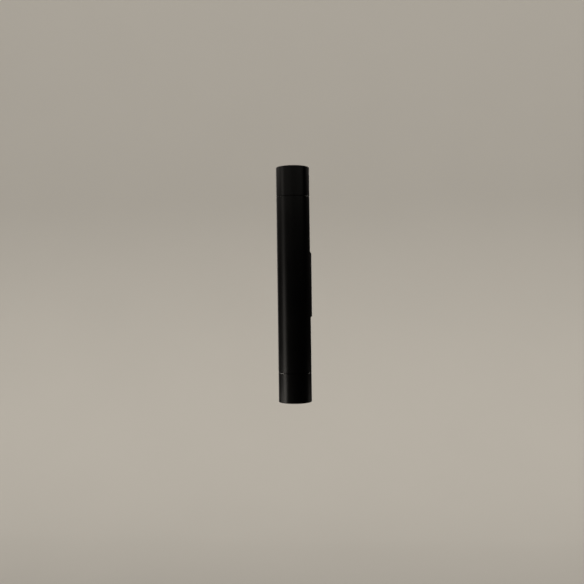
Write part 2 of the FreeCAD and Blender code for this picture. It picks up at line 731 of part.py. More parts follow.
def thread_collar():
    """Collar pressed into the tube. Its nose carries the sleeve's thread, drawn here as plain."""
    foot = COLLAR_FOOT_Z
    flange_top = foot + COLLAR_FLANGE_THICKNESS
    collar = turned([
        (COLLAR_FLANGE_INNER_R, foot),
        (BORE_R, foot),
        (BORE_R, SEAM_Z),
        (THREAD_R, SEAM_Z),
        (THREAD_R, THREAD_TOP_Z - NOSE_CHAMFER),
        (THREAD_R - NOSE_CHAMFER, THREAD_TOP_Z),
        (COLLAR_BORE_R, THREAD_TOP_Z),
        (COLLAR_BORE_R, flange_top),
        (COLLAR_FLANGE_INNER_R, flange_top),
    ])
    holes = [upright(M3_HOLE_R, foot, flange_top, x) for x in (-STRAP_SCREW_X, STRAP_SCREW_X)]
    return cut_all(collar, holes)


def lamp_bracket():
    """Folded strap: two feet under the collar's flange, two legs, and a web for the holder."""
    half_y = STRAP_WIDTH / 2
    low_y = AXIS_Y - half_y
    high_y = AXIS_Y + half_y
    foot_top = COLLAR_FOOT_Z
    foot_bottom = foot_top - STRAP_THICKNESS
    web_bottom = HOLDER_FOOT_Z - STRAP_THICKNESS
    leg_outer = STRAP_LEG_X + STRAP_THICKNESS
    outer = block(-leg_outer, leg_outer, low_y, high_y, web_bottom, foot_top)
    lower_edges = [e for e in edges_along(outer, TO_WALL) if e.CenterOfMass.z < web_bottom + REACH]
    outer = outer.makeFillet(STRAP_BEND_R + STRAP_THICKNESS, lower_edges)
    inner = block(-STRAP_LEG_X, STRAP_LEG_X, low_y, high_y, HOLDER_FOOT_Z, foot_top + REACH)
    inner_edges = [e for e in edges_along(inner, TO_WALL)
                   if e.CenterOfMass.z < HOLDER_FOOT_Z + REACH]
    inner = inner.makeFillet(STRAP_BEND_R, inner_edges)
    right_foot = block(STRAP_LEG_X, STRAP_FOOT_X, low_y, high_y, foot_bottom, foot_top)
    left_foot = block(-STRAP_FOOT_X, -STRAP_LEG_X, low_y, high_y, foot_bottom, foot_top)
    strap = fuse_all([outer.cut(inner), right_foot, left_foot])
    strap = strap.common(upright(STRAP_CLEAR_R, web_bottom, foot_top))
    holes = [block(-STRAP_SLOT_HALF_X, STRAP_SLOT_HALF_X,
                   AXIS_Y - STRAP_SLOT_HALF_Y, AXIS_Y + STRAP_SLOT_HALF_Y,
                   web_bottom, HOLDER_FOOT_Z)]
    for side in (-1, 1):
        holes.append(upright(M3_R, foot_bottom, foot_top, side * STRAP_SCREW_X))
        holes.append(upright(M3_R, web_bottom, HOLDER_FOOT_Z, side * HOLDER_SCREW_X))
    return cut_all(strap, holes)


def bracket_screws():
    """Two screws down through the collar's flange into the strap's feet."""
    head_base = COLLAR_FOOT_Z + COLLAR_FLANGE_THICKNESS
    tip = COLLAR_FOOT_Z - STRAP_THICKNESS - SCREW_STANDOUT
    return group([screw_upright(x, AXIS_Y, head_base, tip, M3_R, M3_HEAD_R, M3_HEAD)
                  for x in (-STRAP_SCREW_X, STRAP_SCREW_X)])


def pin_places():
    """The X, Y and bearing of each pin when the lamp is locked."""
    return [(0.0, PIN_BACK_Y, 90.0), (0.0, PIN_FRONT_Y, 270.0)]


def keyhole(bearing_deg):
    """The way through the holder's top plate for one pin: a round entry and a narrow curved slot."""
    slot = turned([
        (PIN_RADIUS_OF_CIRCLE - KEYHOLE_STEM_R, POCKET_TOP_Z - REACH),
        (PIN_RADIUS_OF_CIRCLE + KEYHOLE_STEM_R, POCKET_TOP_Z - REACH),
        (PIN_RADIUS_OF_CIRCLE + KEYHOLE_STEM_R, HOLDER_TOP_Z + REACH),
        (PIN_RADIUS_OF_CIRCLE - KEYHOLE_STEM_R, HOLDER_TOP_Z + REACH),
    ], LAMP_TWIST_DEG, bearing_deg)
    parts = [slot]
    for turn_deg, radius in ((0.0, KEYHOLE_STEM_R), (LAMP_TWIST_DEG, KEYHOLE_ENTRY_R)):
        angle = math.radians(bearing_deg + turn_deg)
        x = PIN_RADIUS_OF_CIRCLE * math.cos(angle)
        y = AXIS_Y + PIN_RADIUS_OF_CIRCLE * math.sin(angle)
        parts.append(upright(radius, POCKET_TOP_Z - REACH, HOLDER_TOP_Z + REACH, x, y))
    return fuse_all(parts)


def pin_pocket(bearing_deg):
    """The pocket under the top plate in which one pin's head turns."""
    return turned([
        (HOLDER_POCKET_INNER_R, POCKET_FLOOR_Z),
        (HOLDER_POCKET_OUTER_R, POCKET_FLOOR_Z),
        (HOLDER_POCKET_OUTER_R, POCKET_TOP_Z),
        (HOLDER_POCKET_INNER_R, POCKET_TOP_Z),
    ], LAMP_TWIST_DEG + 2 * HOLDER_POCKET_MARGIN_DEG, bearing_deg - HOLDER_POCKET_MARGIN_DEG)


def lampholder():
    """Round ceramic holder with two keyhole slots, a pocket under each and two screw holes."""
    edge = HOLDER_EDGE
    body = turned([
        (0, HOLDER_FOOT_Z),
        (HOLDER_R, HOLDER_FOOT_Z),
        (HOLDER_R, HOLDER_TOP_Z - edge),
        (HOLDER_R - edge, HOLDER_TOP_Z),
        (0, HOLDER_TOP_Z),
    ])
    tools = []
    for x, y, bearing_deg in pin_places():
        tools.append(keyhole(bearing_deg))
        tools.append(pin_pocket(bearing_deg))
        tools.append(upright(HOLDER_WIRE_R, HOLDER_FOOT_Z, POCKET_FLOOR_Z + REACH, x, y))
    for side in (-1, 1):
        x = side * HOLDER_SCREW_X
        tools.append(upright(M3_HOLE_R, HOLDER_FOOT_Z, HOLDER_TOP_Z, x))
        tools.append(upright(M3_HEAD_R + HEAD_CLEARANCE, POCKET_TOP_Z, HOLDER_TOP_Z, x))
    return cut_all(body, tools)


def holder_screws():
    """Two screws down through the holder into the strap's web."""
    tip = HOLDER_FOOT_Z - STRAP_THICKNESS - SCREW_STANDOUT
    return group([screw_upright(side * HOLDER_SCREW_X, AXIS_Y, POCKET_TOP_Z, tip,
                                M3_R, M3_HEAD_R, M3_HEAD) for side in (-1, 1)])


def holder_contacts():
    """Two spring leaves under the pins, each with a crimp barrel for its lead."""
    contacts = []
    for x, y, bearing_deg in pin_places():
        leaf = turned([
            (HOLDER_POCKET_INNER_R + CONTACT_MARGIN, CONTACT_BOTTOM_Z),
            (HOLDER_POCKET_OUTER_R - CONTACT_MARGIN, CONTACT_BOTTOM_Z),
            (HOLDER_POCKET_OUTER_R - CONTACT_MARGIN, CONTACT_TOP_Z),
            (HOLDER_POCKET_INNER_R + CONTACT_MARGIN, CONTACT_TOP_Z),
        ], LAMP_TWIST_DEG + HOLDER_POCKET_MARGIN_DEG, bearing_deg - HOLDER_POCKET_MARGIN_DEG / 2)
        crimp_low = CONTACT_BOTTOM_Z - CONTACT_CRIMP_LENGTH
        crimp = upright(CONTACT_CRIMP_R, crimp_low, CONTACT_BOTTOM_Z, x, y)
        bore = upright(CONTACT_CRIMP_BORE_R, crimp_low, CONTACT_BOTTOM_Z, x, y)
        contacts.append(fuse_all([leaf, crimp]).cut(bore))
    return group(contacts)


def lamp_body():
    """The lamp's casing: a narrow base, a flared bowl and a rim round the lens."""
    base = LAMP_BASE_Z
    face = LAMP_FACE_Z
    seat = face - LAMP_LENS_THICKNESS
    floor = seat - LAMP_HOLLOW_DEPTH
    hollow_r = LAMP_LENS_R - LAMP_LENS_LEDGE
    flare_start = V(LAMP_NECK_R, AXIS_Y, base + LAMP_NECK_HEIGHT)
    flare_middle = V(LAMP_WAIST_R, AXIS_Y, base + LAMP_WAIST_HEIGHT)
    flare_end = V(LAMP_R - LAMP_SHOULDER_STEP, AXIS_Y, face - LAMP_SHOULDER_DEPTH)
    before = [
        V(0, AXIS_Y, base),
        V(LAMP_BASE_R, AXIS_Y, base),
        V(LAMP_BASE_R, AXIS_Y, base + LAMP_BASE_HEIGHT),
        flare_start,
    ]
    after = [
        flare_end,
        V(LAMP_R, AXIS_Y, face - LAMP_BAND_DEPTH),
        V(LAMP_R, AXIS_Y, face - LAMP_FACE_ROUND),
        V(LAMP_R - LAMP_FACE_ROUND, AXIS_Y, face),
        V(LAMP_R - LAMP_RIM, AXIS_Y, face),
        V(LAMP_LENS_R, AXIS_Y, face - LAMP_RIM_DROP),
        V(LAMP_LENS_R, AXIS_Y, seat),
        V(hollow_r, AXIS_Y, seat),
        V(hollow_r, AXIS_Y, floor),
        V(0, AXIS_Y, floor),
    ]
    edges = [Part.LineSegment(a, b).toShape() for a, b in zip(before, before[1:])]
    edges.append(Part.Arc(flare_start, flare_middle, flare_end).toShape())
    edges += [Part.LineSegment(a, b).toShape() for a, b in zip(after, after[1:])]
    edges.append(Part.LineSegment(after[-1], before[0]).toShape())
    casing = Part.Face(Part.Wire(edges)).revolve(V(0, AXIS_Y, 0), UP, 360)
    sockets = [upright(PIN_STEM_R, base, base + PIN_STEM_SUNK, x, y) for x, y, _ in pin_places()]
    return cut_all(casing, sockets)


def lamp_lens():
    """Clear lens set in the lamp's rim."""
    return upright(LAMP_LENS_R, LAMP_FACE_Z - LAMP_LENS_THICKNESS, LAMP_FACE_Z - LAMP_LENS_SUNK)


def lamp_pins():
    """Two stepped pins: a thin stem and a wide head."""
    pins = []
    for x, y, _ in pin_places():
        pins.append(fuse_all([
            upright(PIN_STEM_R, PIN_HEAD_TOP_Z, LAMP_BASE_Z + PIN_STEM_SUNK, x, y),
            upright(PIN_HEAD_R, PIN_HEAD_END_Z, PIN_HEAD_TOP_Z, x, y),
        ]))
    return group(pins)


def sleeve():
    """The screw-on end: a threaded skirt, a plain bore, a groove for the split ring and a lip."""
    skirt_r = THREAD_R + THREAD_CLEARANCE
    skirt_top = THREAD_TOP_Z + THREAD_RUNOUT
    bottom = SEAM_Z + SEAM_GAP
    top = HALF_LENGTH
    groove_low = RING_BOTTOM_Z - STACK_GAP / 2
    groove_high = RING_TOP_Z + STACK_GAP / 2
    return turned([
        (skirt_r, bottom),
        (TUBE_R - SEAM_CHAMFER, bottom),
        (TUBE_R, bottom + SEAM_CHAMFER),
        (TUBE_R, top - RIM_CHAMFER),
        (TUBE_R - RIM_CHAMFER, top),
        (LIP_INNER_R + RIM_CHAMFER, top),
        (LIP_INNER_R, top - RIM_CHAMFER),
        (LIP_INNER_R, LIP_Z),
        (BORE_R, LIP_Z),
        (BORE_R, groove_high),
        (RING_GROOVE_R, groove_high),
        (RING_GROOVE_R, groove_low),
        (BORE_R, groove_low),
        (BORE_R, skirt_top),
        (skirt_r, skirt_top),
    ])


def glass():
    """Flat cover glass."""
    return upright(GLASS_R, GLASS_BOTTOM_Z, GLASS_TOP_Z)


def gasket():
    """Soft ring between the glass and the sleeve's lip."""
    return ring(GLASS_R, GASKET_INNER_R, GLASS_TOP_Z, GASKET_TOP_Z)


def retaining_ring():
    """Split spring ring that sits in the sleeve's groove under the glass."""
    return turned([
        (RING_INNER_R, RING_BOTTOM_Z),
        (RING_OUTER_R, RING_BOTTOM_Z),
        (RING_OUTER_R, RING_TOP_Z),
        (RING_INNER_R, RING_TOP_Z),
    ], 360.0 - RING_OPENING_DEG, RING_OPENING_DEG / 2 + 90.0)


# ---- every node ----

def end_pieces():
    """The pieces that each end has, drawn in place at the upper end."""
    return {
        "thread_collar": thread_collar(),
        "lamp_bracket": lamp_bracket(),
        "bracket_screws": bracket_screws(),
        "lampholder": lampholder(),
        "holder_contacts": holder_contacts(),
        "holder_screws": holder_screws(),
        "lamp_body": lamp_body(),
        "lamp_lens": lamp_lens(),
        "lamp_pins": lamp_pins(),
        "sleeve": sleeve(),
        "glass": glass(),
        "gasket": gasket(),
        "retaining_ring": retaining_ring(),
    }


def middle_pieces():
    """The pieces of the wall side, the box and the tube."""
    upper_grub = grub_screw()
    return {
        "wall_bracket": wall_bracket(),
        "cable_bush": cable_bush(),
        "earth_screw": earth_screw(),
        "earth_washer": earth_washer(),
        "mount_box": mount_box(),
        "grub_screws": group([upper_grub, turn_over(upper_grub)]),
        "body_tube": body_tube(),
        "saddle_screws": saddle_screws(),
        "clamp_plate": clamp_plate(),
        "lead_grommet": lead_grommet(),
        "terminal_block": terminal_block(),
        "terminal_barrels": terminal_barrels(),
        "terminal_screws": terminal_screws(),
        "block_screws": block_screws(),
        "earth_tag": earth_tag(),
    }


def main():
    nodes = middle_pieces()
    nodes.update(leads())
    for name, shape in end_pieces().items():
        nodes["upper_" + name] = shape
        nodes["lower_" + name] = turn_over(shape)
    os.makedirs("parts", exist_ok=True)
    for name, shape in nodes.items():
        solids = len(shape.Solids)
        print(name, "solids", solids, "volume", round(shape.Volume, 1), "valid", shape.isValid())
        shape.exportStep("parts/" + name + ".step")


main()
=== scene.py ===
import json
import math

import bpy
from mathutils import Matrix, Vector


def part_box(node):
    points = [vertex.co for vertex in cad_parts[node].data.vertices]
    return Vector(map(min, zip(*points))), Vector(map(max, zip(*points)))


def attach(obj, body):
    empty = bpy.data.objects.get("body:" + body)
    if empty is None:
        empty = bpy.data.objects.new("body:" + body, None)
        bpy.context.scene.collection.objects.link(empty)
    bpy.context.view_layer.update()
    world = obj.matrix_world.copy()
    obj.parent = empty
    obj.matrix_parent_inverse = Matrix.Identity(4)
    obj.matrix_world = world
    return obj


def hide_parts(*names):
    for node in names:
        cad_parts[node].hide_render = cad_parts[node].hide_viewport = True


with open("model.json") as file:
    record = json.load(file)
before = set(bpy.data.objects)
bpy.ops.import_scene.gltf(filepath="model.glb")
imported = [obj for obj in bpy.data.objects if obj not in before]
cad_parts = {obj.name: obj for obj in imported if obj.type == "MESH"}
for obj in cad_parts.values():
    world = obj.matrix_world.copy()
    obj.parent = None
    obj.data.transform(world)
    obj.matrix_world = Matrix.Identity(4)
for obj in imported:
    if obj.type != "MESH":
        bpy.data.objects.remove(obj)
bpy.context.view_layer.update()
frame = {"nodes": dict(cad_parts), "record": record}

# Tube wall light, dressed. Everything is in metres. The wall is the plane Y = 0, the light
# stands out from it towards -Y, and +Z is up. Sizes come from the frame where it has them.

MM = 0.001

# ---- sizes read from the frame ----
tube_low, tube_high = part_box("body_tube")
AXIS_Y = (tube_low.y + tube_high.y) / 2
TUBE_R = (tube_high.x - tube_low.x) / 2
SEAM_Z = tube_high.z
sleeve_low, sleeve_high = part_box("upper_sleeve")
SLEEVE_FOOT_Z = sleeve_low.z
RIM_Z = sleeve_high.z
collar_low, collar_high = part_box("upper_thread_collar")
ring_low, ring_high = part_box("upper_retaining_ring")
glass_low, glass_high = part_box("upper_glass")
lens_low, lens_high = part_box("upper_lamp_lens")
lamp_low, lamp_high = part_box("upper_lamp_body")
box_low, box_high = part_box("mount_box")
bush_low, bush_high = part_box("cable_bush")
grommet_low, grommet_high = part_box("lead_grommet")
TUBE_AXIS = (0, AXIS_Y)

# ---- tube and sleeves ----
TUBE_BORE_R = 27.5 * MM
SEAM_CHAMFER = 0.3 * MM
RIM_CHAMFER = 0.6 * MM
LIP_R = 26.0 * MM
LIP_THICKNESS = 2.0 * MM
GROOVE_R = 28.3 * MM
RING_GAP = 0.05 * MM
SADDLE_SCREW_Z = 50.0 * MM
SCREW_HOLE_R = 2.2 * MM
GROMMET_HOLE_R = 6.0 * MM

# ---- screw thread between collar and sleeve ----
PITCH = 2.0 * MM
THREAD_TURNS = 4
SLEEVE_THREAD_R = 28.5 * MM
SLEEVE_THREAD_DEPTH = 0.6 * MM
SLEEVE_THREAD_RISE = 0.7 * MM
NOSE_ROOT_R = 27.6 * MM
NOSE_THREAD_DEPTH = 0.75 * MM
NOSE_THREAD_RISE = 0.85 * MM
NOSE_BORE_R = 26.2 * MM
THREAD_START = 1.1 * MM
COLLAR_FLANGE_R = 20.0 * MM
COLLAR_FLANGE = 2.0 * MM
COLLAR_SCREW_X = 23.4 * MM
COLLAR_SCREW_HOLE_R = 1.6 * MM
THREAD_RUNOUT = 0.3 * MM
NOSE_CHAMFER = 0.5 * MM

# ---- lamp ----
LAMP_NECK_R = 11.5 * MM
LAMP_WAIST_R = 16.6 * MM
LAMP_BASE_R = 9.6 * MM
LAMP_BASE_LENGTH = 6.0 * MM
LAMP_NECK_UP = 7.5 * MM
LAMP_WAIST_UP = 22.0 * MM
LAMP_SHOULDER_DOWN = 8.5 * MM
LAMP_SHOULDER_IN = 0.6 * MM
LAMP_RIM_HEIGHT = 8.0 * MM
LAMP_RIM_CHAMFER = 0.5 * MM
LAMP_RIM_FLAT = 1.6 * MM
LAMP_RIM_DROP = 0.2 * MM
LENS_SEAT_WIDTH = 1.5 * MM
LENS_SEAT_DEPTH = 4.0 * MM
LENS_RINGS = 9
LENS_RING_DROP = 0.3 * MM
LENS_CENTRE_R = 3.0 * MM
LENS_RIM = 2.0 * MM
LENS_FINENESS = 96
LENS_SMOOTH_ANGLE = math.radians(20)
LENS_GLOW = 1.5

# ---- earth lead ----
STRIPE = "stripe_side"
STRIPE_TOWARDS = Vector((0.6, -0.6, 0.53))

# ---- wall box ----
BOX_WALL = 3.0 * MM
BOX_CORNER_R = 0.8 * MM
PAD_FACE_Y = -26.5 * MM
PAD_R = 5.0 * MM
GROMMET_Z = (grommet_low.z + grommet_high.z) / 2
GROMMET_PAD_R = 8.5 * MM
GROMMET_BORE_R = 3.75 * MM
GROMMET_LIP_R = 7.0 * MM
BUSH_BORE_R = 4.5 * MM
BUSH_BODY_R = 6.0 * MM
FLANGE = 1.5 * MM
ROLLED_EDGE = 0.5 * MM
BLOCK_PAD_FACE_Y = -24.0 * MM
BLOCK_PAD_HALF_X = 13.0 * MM
BLOCK_PAD_HALF_Z = 6.5 * MM
BLOCK_Z = 6.5 * MM
BLOCK_SCREW_X = 5.0 * MM
BLOCK_SCREW_R = 1.5 * MM
BLOCK_SCREW_END_Y = -29.0 * MM
GRUB_R = 2.0 * MM
GRUB_Y = -8.0 * MM

# ---- how finely things are made ----
ROUND_STEPS = 160
SMALL_ROUND_STEPS = 64
CURVE_STEPS = 14
EDGE_SOFTNESS = 0.12 * MM
PRESSED_EDGE = 0.15 * MM
THICK_EDGE = 0.2 * MM
FASTENER_EDGE = 0.1 * MM
LEAD_EDGE = 0.03 * MM
GROUND_EDGE = 0.3 * MM
SHARP_ANGLE = math.radians(35)
SMOOTH_ANGLE = math.radians(60)
SAME_PLACE = 0.001 * MM
FLAT_ANGLE = math.radians(0.5)
OVERCUT = 1.0 * MM

# ---- the photograph's camera, fitted to the tube's outline, its seams and the box's edge ----
PHOTO_WIDTH = 584
FOCAL_PIXELS = 753.0
SENSOR_WIDTH = 36.0
CAMERA_PLACE = Vector((0.0854, AXIS_Y - 1.3663, -0.0129))
CAMERA_YAW = math.radians(-3.73)
CAMERA_PITCH = math.radians(-0.016)
CAMERA_ROLL = math.radians(-0.739)
LIGHT_COLOUR = "fff8ee"
SOFTBOX_AWAY = 1.1
SURROUND_AS_LIGHT = 0.004
SURROUND_SEEN = 0.42


# ---- materials ----

def linear(hex_colour):
    """The linear colour of an sRGB hex value such as "1c1c1d"."""
    values = []
    for place in (0, 2, 4):
        part = int(hex_colour[place:place + 2], 16) / 255
        values.append(part / 12.92 if part <= 0.04045 else ((part + 0.055) / 1.055) ** 2.4)
    return (*values, 1.0)


def add(tree, kind, settings=(), values=(), links=()):
    """Adds a node, with its settings, its socket values and the sockets that feed it."""
    node = tree.nodes.new(kind)
    for name, value in dict(settings).items():
        setattr(node, name, value)
    for name, value in dict(values).items():
        node.inputs[name].default_value = value
    for name, socket in dict(links).items():
        tree.links.new(socket, node.inputs[name])
    return node


def new_material(name, values):
    """A material with one principled shader, its output and object coordinates."""
    material = bpy.data.materials.new(name)
    material.use_nodes = True
    tree = material.node_tree
    tree.nodes.clear()
    shader = add(tree, "ShaderNodeBsdfPrincipled", values=values)
    add(tree, "ShaderNodeOutputMaterial", links={"Surface": shader.outputs["BSDF"]})
    place = add(tree, "ShaderNodeTexCoord").outputs["Object"]
    return material, tree, shader, place


def surface(name, tones, roughness, grain, relief, cloud, stretch=(1, 1, 1), values=()):
    """A finish whose tone and roughness drift between two values, with a fine raised grain.
    Grain and cloud are the sizes of the two patterns, relief is the grain's height, and
    stretch draws the grain out along the axes where it is small."""
    material, tree, shader, place = new_material(name, values)
    drawn = add(tree, "ShaderNodeMapping", values={"Scale": stretch}, links={"Vector": place})
    fine = add(tree, "ShaderNodeTexNoise", values={"Scale": 1 / grain, "Detail": 2.0},
               links={"Vector": drawn.outputs["Vector"]})
    broad = add(tree, "ShaderNodeTexNoise", values={"Scale": 1 / cloud, "Detail": 3.0},
                links={"Vector": place})
    mixed = add(tree, "ShaderNodeMath", {"operation": "MULTIPLY_ADD"}, {1: 0.4},
                {0: fine.outputs["Fac"], 2: broad.outputs["Fac"]})
    drift = add(tree, "ShaderNodeMapRange", values={"From Min": 0.45, "From Max": 0.95},
                links={"Value": mixed.outputs["Value"]})
    tone = add(tree, "ShaderNodeMix", {"data_type": "RGBA"},
               {"A": linear(tones[0]), "B": linear(tones[1])},
               {"Factor": drift.outputs["Result"]})
    rough = add(tree, "ShaderNodeMapRange", {},
                {"To Min": roughness[0], "To Max": roughness[1]},
                {"Value": drift.outputs["Result"]})
    height = add(tree, "ShaderNodeBump", values={"Strength": 0.5, "Distance": relief},
                 links={"Height": fine.outputs["Fac"]})
    tree.links.new(tone.outputs["Result"], shader.inputs["Base Color"])
    tree.links.new(rough.outputs["Result"], shader.inputs["Roughness"])
    tree.links.new(height.outputs["Normal"], shader.inputs["Normal"])
    return material, tree, shader, place


def turned_surface(name, tones, roughness, values):
    """A surface turned on a lathe. The tool's rings are about 0.1 mm apart on the real part and
    are drawn at 0.5 mm, so that they show: round the tube's axis on flat faces, and one above
    the other on round ones."""
    pitch = 0.5 * MM
    material, tree, shader, place = surface(name, tones, roughness, 0.3 * MM, 0.002 * MM,
                                            6 * MM, values=values)
    centred = add(tree, "ShaderNodeMapping", values={"Location": (0, -AXIS_Y, 0)},
                  links={"Vector": place})
    wave_scale = math.tau / 20 / pitch
    rings = add(tree, "ShaderNodeTexWave", {"wave_type": "RINGS", "rings_direction": "Z"},
                {"Scale": wave_scale, "Distortion": 0.4, "Detail": 0.0},
                {"Vector": centred.outputs["Vector"]})
    bands = add(tree, "ShaderNodeTexWave", {"wave_type": "BANDS", "bands_direction": "Z"},
                {"Scale": wave_scale, "Distortion": 0.4, "Detail": 0.0},
                {"Vector": centred.outputs["Vector"]})
    both = add(tree, "ShaderNodeMath", {"operation": "ADD"},
               links={0: rings.outputs["Fac"], 1: bands.outputs["Fac"]})
    grain_normal = shader.inputs["Normal"].links[0].from_socket
    tool_marks = add(tree, "ShaderNodeBump", values={"Strength": 0.6, "Distance": 0.006 * MM},
                     links={"Height": both.outputs["Value"], "Normal": grain_normal})
    tree.links.new(tool_marks.outputs["Normal"], shader.inputs["Normal"])
    return material


def zinc_plated_sheet():
    """Steel sheet, zinc plated and clear passivated. It is a cool grey with cloudy patches and
    lines from the rolling mill up the sheet. The plating's own patches, about 1.5 mm across,
    each shine a little differently."""
    material, tree, shader, place = surface(
        "zinc_plated_sheet", ("a4a8ab", "b8bbbd"), (0.42, 0.52), 0.35 * MM, 0.003 * MM,
        14 * MM, stretch=(1, 1, 0.06), values={"Metallic": 1.0})
    patches = add(tree, "ShaderNodeTexVoronoi", values={"Scale": 1 / (1.5 * MM)},
                  links={"Vector": place})
    shine = add(tree, "ShaderNodeMapRange", values={"To Min": -0.02, "To Max": 0.03},
                links={"Value": patches.outputs["Color"]})
    cloud_rough = shader.inputs["Roughness"].links[0].from_socket
    rough = add(tree, "ShaderNodeMath", {"operation": "ADD"},
                links={0: cloud_rough, 1: shine.outputs["Result"]})
    tree.links.new(rough.outputs["Value"], shader.inputs["Roughness"])
    return material


def fired_steatite():
    """Steatite, pressed and fired without glaze: off-white and dry, with small iron specks."""
    material, tree, shader, place = surface(
        "fired_steatite", ("dcd3c3", "ece6da"), (0.50, 0.66), 0.25 * MM, 0.012 * MM,
        8 * MM, values={"IOR": 1.6})
    spots = add(tree, "ShaderNodeTexNoise", values={"Scale": 1 / (0.6 * MM), "Detail": 1.0},
                links={"Vector": place})
    speck = add(tree, "ShaderNodeMapRange", values={"From Min": 0.68, "From Max": 0.72},
                links={"Value": spots.outputs["Fac"]})
    body_tone = shader.inputs["Base Color"].links[0].from_socket
    tone = add(tree, "ShaderNodeMix", {"data_type": "RGBA"}, {"B": linear("7d6a55")},
               {"Factor": speck.outputs["Result"], "A": body_tone})
    tree.links.new(tone.outputs["Result"], shader.inputs["Base Color"])
    return material


def striped_earth_lead():
    """Silicone lead insulation, extruded in green with two yellow stripes along it. The stripes
    follow the lead's own attribute."""
    material, tree, shader = surface(
        "green_lead", ("37802a", "478f38"), (0.38, 0.52), 0.3 * MM, 0.006 * MM,
        6 * MM, values={"IOR": 1.41})[:3]
    side = add(tree, "ShaderNodeAttribute", {"attribute_name": STRIPE}).outputs["Fac"]
    edge = add(tree, "ShaderNodeMapRange", values={"From Min": 0.50, "From Max": 0.56},
               links={"Value": side})
    green = shader.inputs["Base Color"].links[0].from_socket
    tone = add(tree, "ShaderNodeMix", {"data_type": "RGBA"}, {"B": linear("d9c42e")},
               {"Factor": edge.outputs["Result"], "A": green})
    tree.links.new(tone.outputs["Result"], shader.inputs["Base Color"])
    return material


def toughened_glass():
    """Flat toughened glass, polished on both faces, with a faint green edge. A thin film of
    dust lifts its roughness in patches."""
    material, tree, shader, place = new_material("toughened_glass", {
        "Base Color": linear("f2faf6"),
        "IOR": 1.52,
        "Transmission Weight": 1.0,
    })
    dust = add(tree, "ShaderNodeTexNoise", values={"Scale": 1 / (8 * MM), "Detail": 4.0},
               links={"Vector": place})
    rough = add(tree, "ShaderNodeMapRange", values={"To Min": 0.0, "To Max": 0.05},
                links={"Value": dust.outputs["Fac"]})
    tree.links.new(rough.outputs["Result"], shader.inputs["Roughness"])
    return material


def lit_acrylic_lens():
    """The lamp's moulded acrylic lens, lit from behind. Its middle is near white, and the light
    turns warmer and weaker towards the rim."""
    material, tree, shader, place = new_material("lit_acrylic_lens", {
        "Base Color": linear("f4efe4"),
        "IOR": 1.49,
        "Emission Strength": LENS_GLOW,
    })
    from_axis = add(tree, "ShaderNodeVectorMath", {"operation": "MULTIPLY_ADD"},
                    {1: (1, 1, 0), 2: (0, -AXIS_Y, 0)}, {0: place})
    radius = add(tree, "ShaderNodeVectorMath", {"operation": "LENGTH"},
                 links={0: from_axis.outputs["Vector"]})
    fade = add(tree, "ShaderNodeMapRange", {"interpolation_type": "SMOOTHSTEP"},
               {"From Min": 4 * MM, "From Max": lens_high.x}, {"Value": radius.outputs["Value"]})
    glow = add(tree, "ShaderNodeMix", {"data_type": "RGBA"},
               {"A": linear("ffeccd"), "B": linear("a87a48")},
               {"Factor": fade.outputs["Result"]})
    moulding = add(tree, "ShaderNodeTexNoise", values={"Scale": 1 / (1.2 * MM), "Detail": 2.0},
                   links={"Vector": place})
    rough = add(tree, "ShaderNodeMapRange", values={"To Min": 0.12, "To Max": 0.28},
                links={"Value": moulding.outputs["Fac"]})
    tree.links.new(glow.outputs["Result"], shader.inputs["Emission Color"])
    tree.links.new(rough.outputs["Result"], shader.inputs["Roughness"])
    return material


